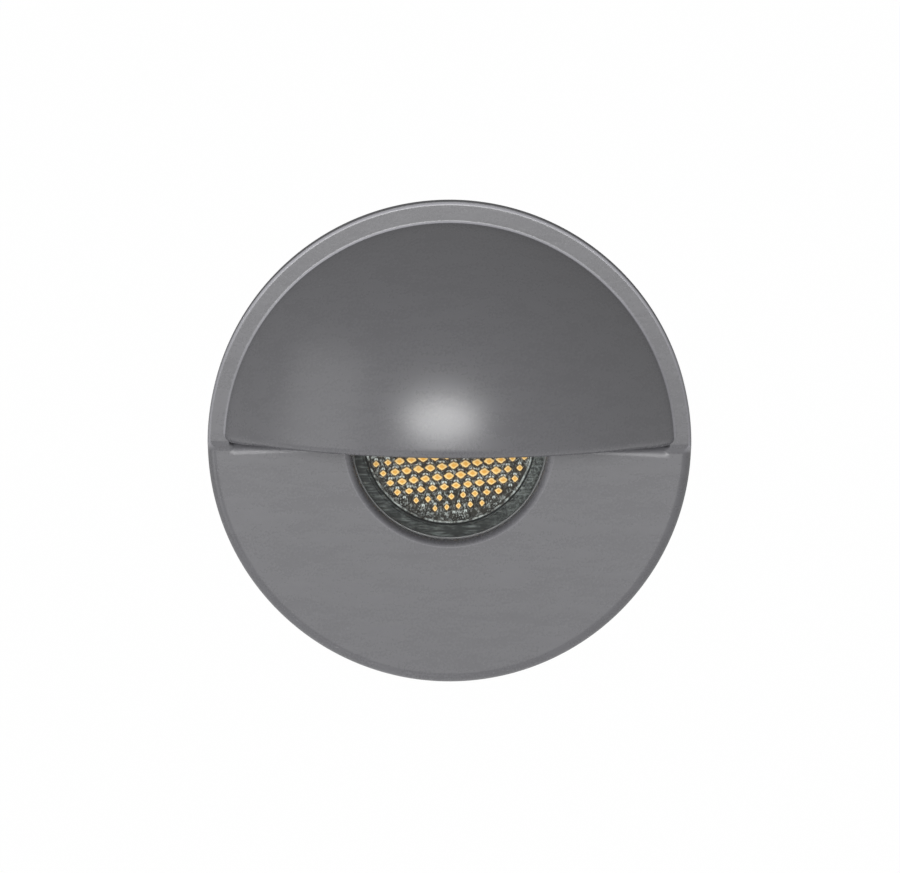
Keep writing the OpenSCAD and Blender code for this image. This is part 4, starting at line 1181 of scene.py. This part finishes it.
# ---- stage

def direction(azimuth, elevation):
    """Unit vector from the light towards a place in front of it. Azimuth grows to the right of the viewer."""
    a, e = math.radians(azimuth), math.radians(elevation)
    return Vector((math.sin(a) * math.cos(e), -math.cos(a) * math.cos(e), math.sin(e)))


def place_lamp(name, azimuth, elevation, distance, size, power, shape="DISK"):
    """An area lamp that looks at the light. size is its width and height."""
    lamp = bpy.data.lights.new(name, "AREA")
    lamp.shape, lamp.energy = shape, power
    lamp.size, lamp.size_y = size
    obj = add_object(name, lamp)
    obj.location = direction(azimuth, elevation) * distance
    obj.rotation_euler = (-direction(azimuth, elevation)).to_track_quat("-Z", "Y").to_euler()
    return obj


class BuildStage(bpy.types.Operator):
    """Set up the camera, the lamps, the world and a plain pale floor"""

    bl_idname = "steplight.stage"
    bl_label = "Stage"

    def execute(self, context):
        scene = context.scene
        settings = scene.light_stage
        camera = bpy.data.cameras.new("photo_camera")
        camera.sensor_fit, camera.sensor_width = "HORIZONTAL", 36
        camera.lens = camera.sensor_width * settings.distance / settings.view_width
        camera.clip_start, camera.clip_end = 0.05, 20
        back = direction(0, math.degrees(settings.tilt))
        target = Vector((0.066, -4.5, 0.83)) * MM
        viewer = scene.camera = add_object("photo_camera", camera)
        viewer.location = target + back * settings.distance
        level = (-back).to_track_quat("-Z", "Y")
        viewer.rotation_euler = (level @ Quaternion((0, 0, 1), settings.roll)).to_euler()
        # Lamps: azimuth, elevation and distance from the light, width and height, power, outline
        place_lamp("key_lamp", -3, 8.5, 1.5, (0.76, 0.42), settings.key, "ELLIPSE")
        place_lamp("low_lamp", -12, -40, 1.5, (0.5, 0.5), settings.low).visible_glossy = False
        place_lamp("side_lamp", -52, 4, 1.3, (0.75, 1.3), settings.side, "RECTANGLE")
        place_lamp("rear_lamp", 180, 62, 1.6, (1.1, 1.1), settings.rear)
        scene.view_settings.view_transform = "Standard"
        self.light_world(scene, settings.ambient)
        self.lay_floor()
        return {"FINISHED"}

    def light_world(self, scene, ambient):
        """White where the camera, glossy surfaces or clear ones see it, and a soft grey light otherwise."""
        scene.world = bpy.data.worlds.new("pale_studio")
        w = Nodes(scene.world, "OutputWorld")
        strength = w.node("MapRange", {"Value": w.seen(), "To Min": ambient, "To Max": 1.0})
        w.done(w.node("Background", {"Color": (1, 1, 1), "Strength": strength}))

    def lay_floor(self):
        """A wide floor far below the light, white to the camera, with a trace of shading."""
        f = Finish("pale_floor")
        grain = f.noise(1.5, detail=2.0)
        matt = f.node("BsdfDiffuse", {"Color": f.mix(grain, (0.80, 0.80, 0.80), (0.84, 0.84, 0.84))})
        white = f.node("Emission", {"Color": (1, 1, 1), "Strength": 1.0})
        half, level = 40.0, -1.1
        mesh = bpy.data.meshes.new("floor")
        corners = [(-half, -half, level), (half, -half, level), (half, half, level), (-half, half, level)]
        mesh.from_pydata(corners, [], [(0, 1, 2, 3)])
        mesh.materials.append(f.done(f.blend(f.seen() * 0.995, matt, white)))
        add_object("floor", mesh)


# ---- panel and run

OPERATORS = (
    BuildFaceplate, BuildWindow, BuildOptic, BuildHousing, BuildDriver, BuildGland, BuildClips, BuildStage,
)


class LightPanel(bpy.types.Panel):
    """Lists the settings and the steps that build the light"""

    bl_idname = "VIEW3D_PT_step_light"
    bl_label = "Step light"
    bl_space_type = "VIEW_3D"
    bl_region_type = "UI"
    bl_category = "Step Light"

    def draw(self, context):
        for key, group in GROUPS.items():
            box = self.layout.box()
            box.label(text=group.__doc__)
            for name in group.__annotations__:
                box.prop(getattr(context.scene, key), name)
        for operator in OPERATORS:
            self.layout.operator(operator.bl_idname)


CLASSES = (*GROUPS.values(), *OPERATORS, LightPanel)


def register():
    for cls in CLASSES:
        bpy.utils.register_class(cls)
    for key, group in GROUPS.items():
        setattr(bpy.types.Scene, key, PointerProperty(type=group))


def unregister():
    for key in GROUPS:
        delattr(bpy.types.Scene, key)
    for cls in reversed(CLASSES):
        bpy.utils.unregister_class(cls)


def main():
    """Builds every piece in order."""
    register()
    for operator in OPERATORS:
        group, name = operator.bl_idname.split(".")
        getattr(getattr(bpy.ops, group), name)()


if __name__ == "__main__":
    main()
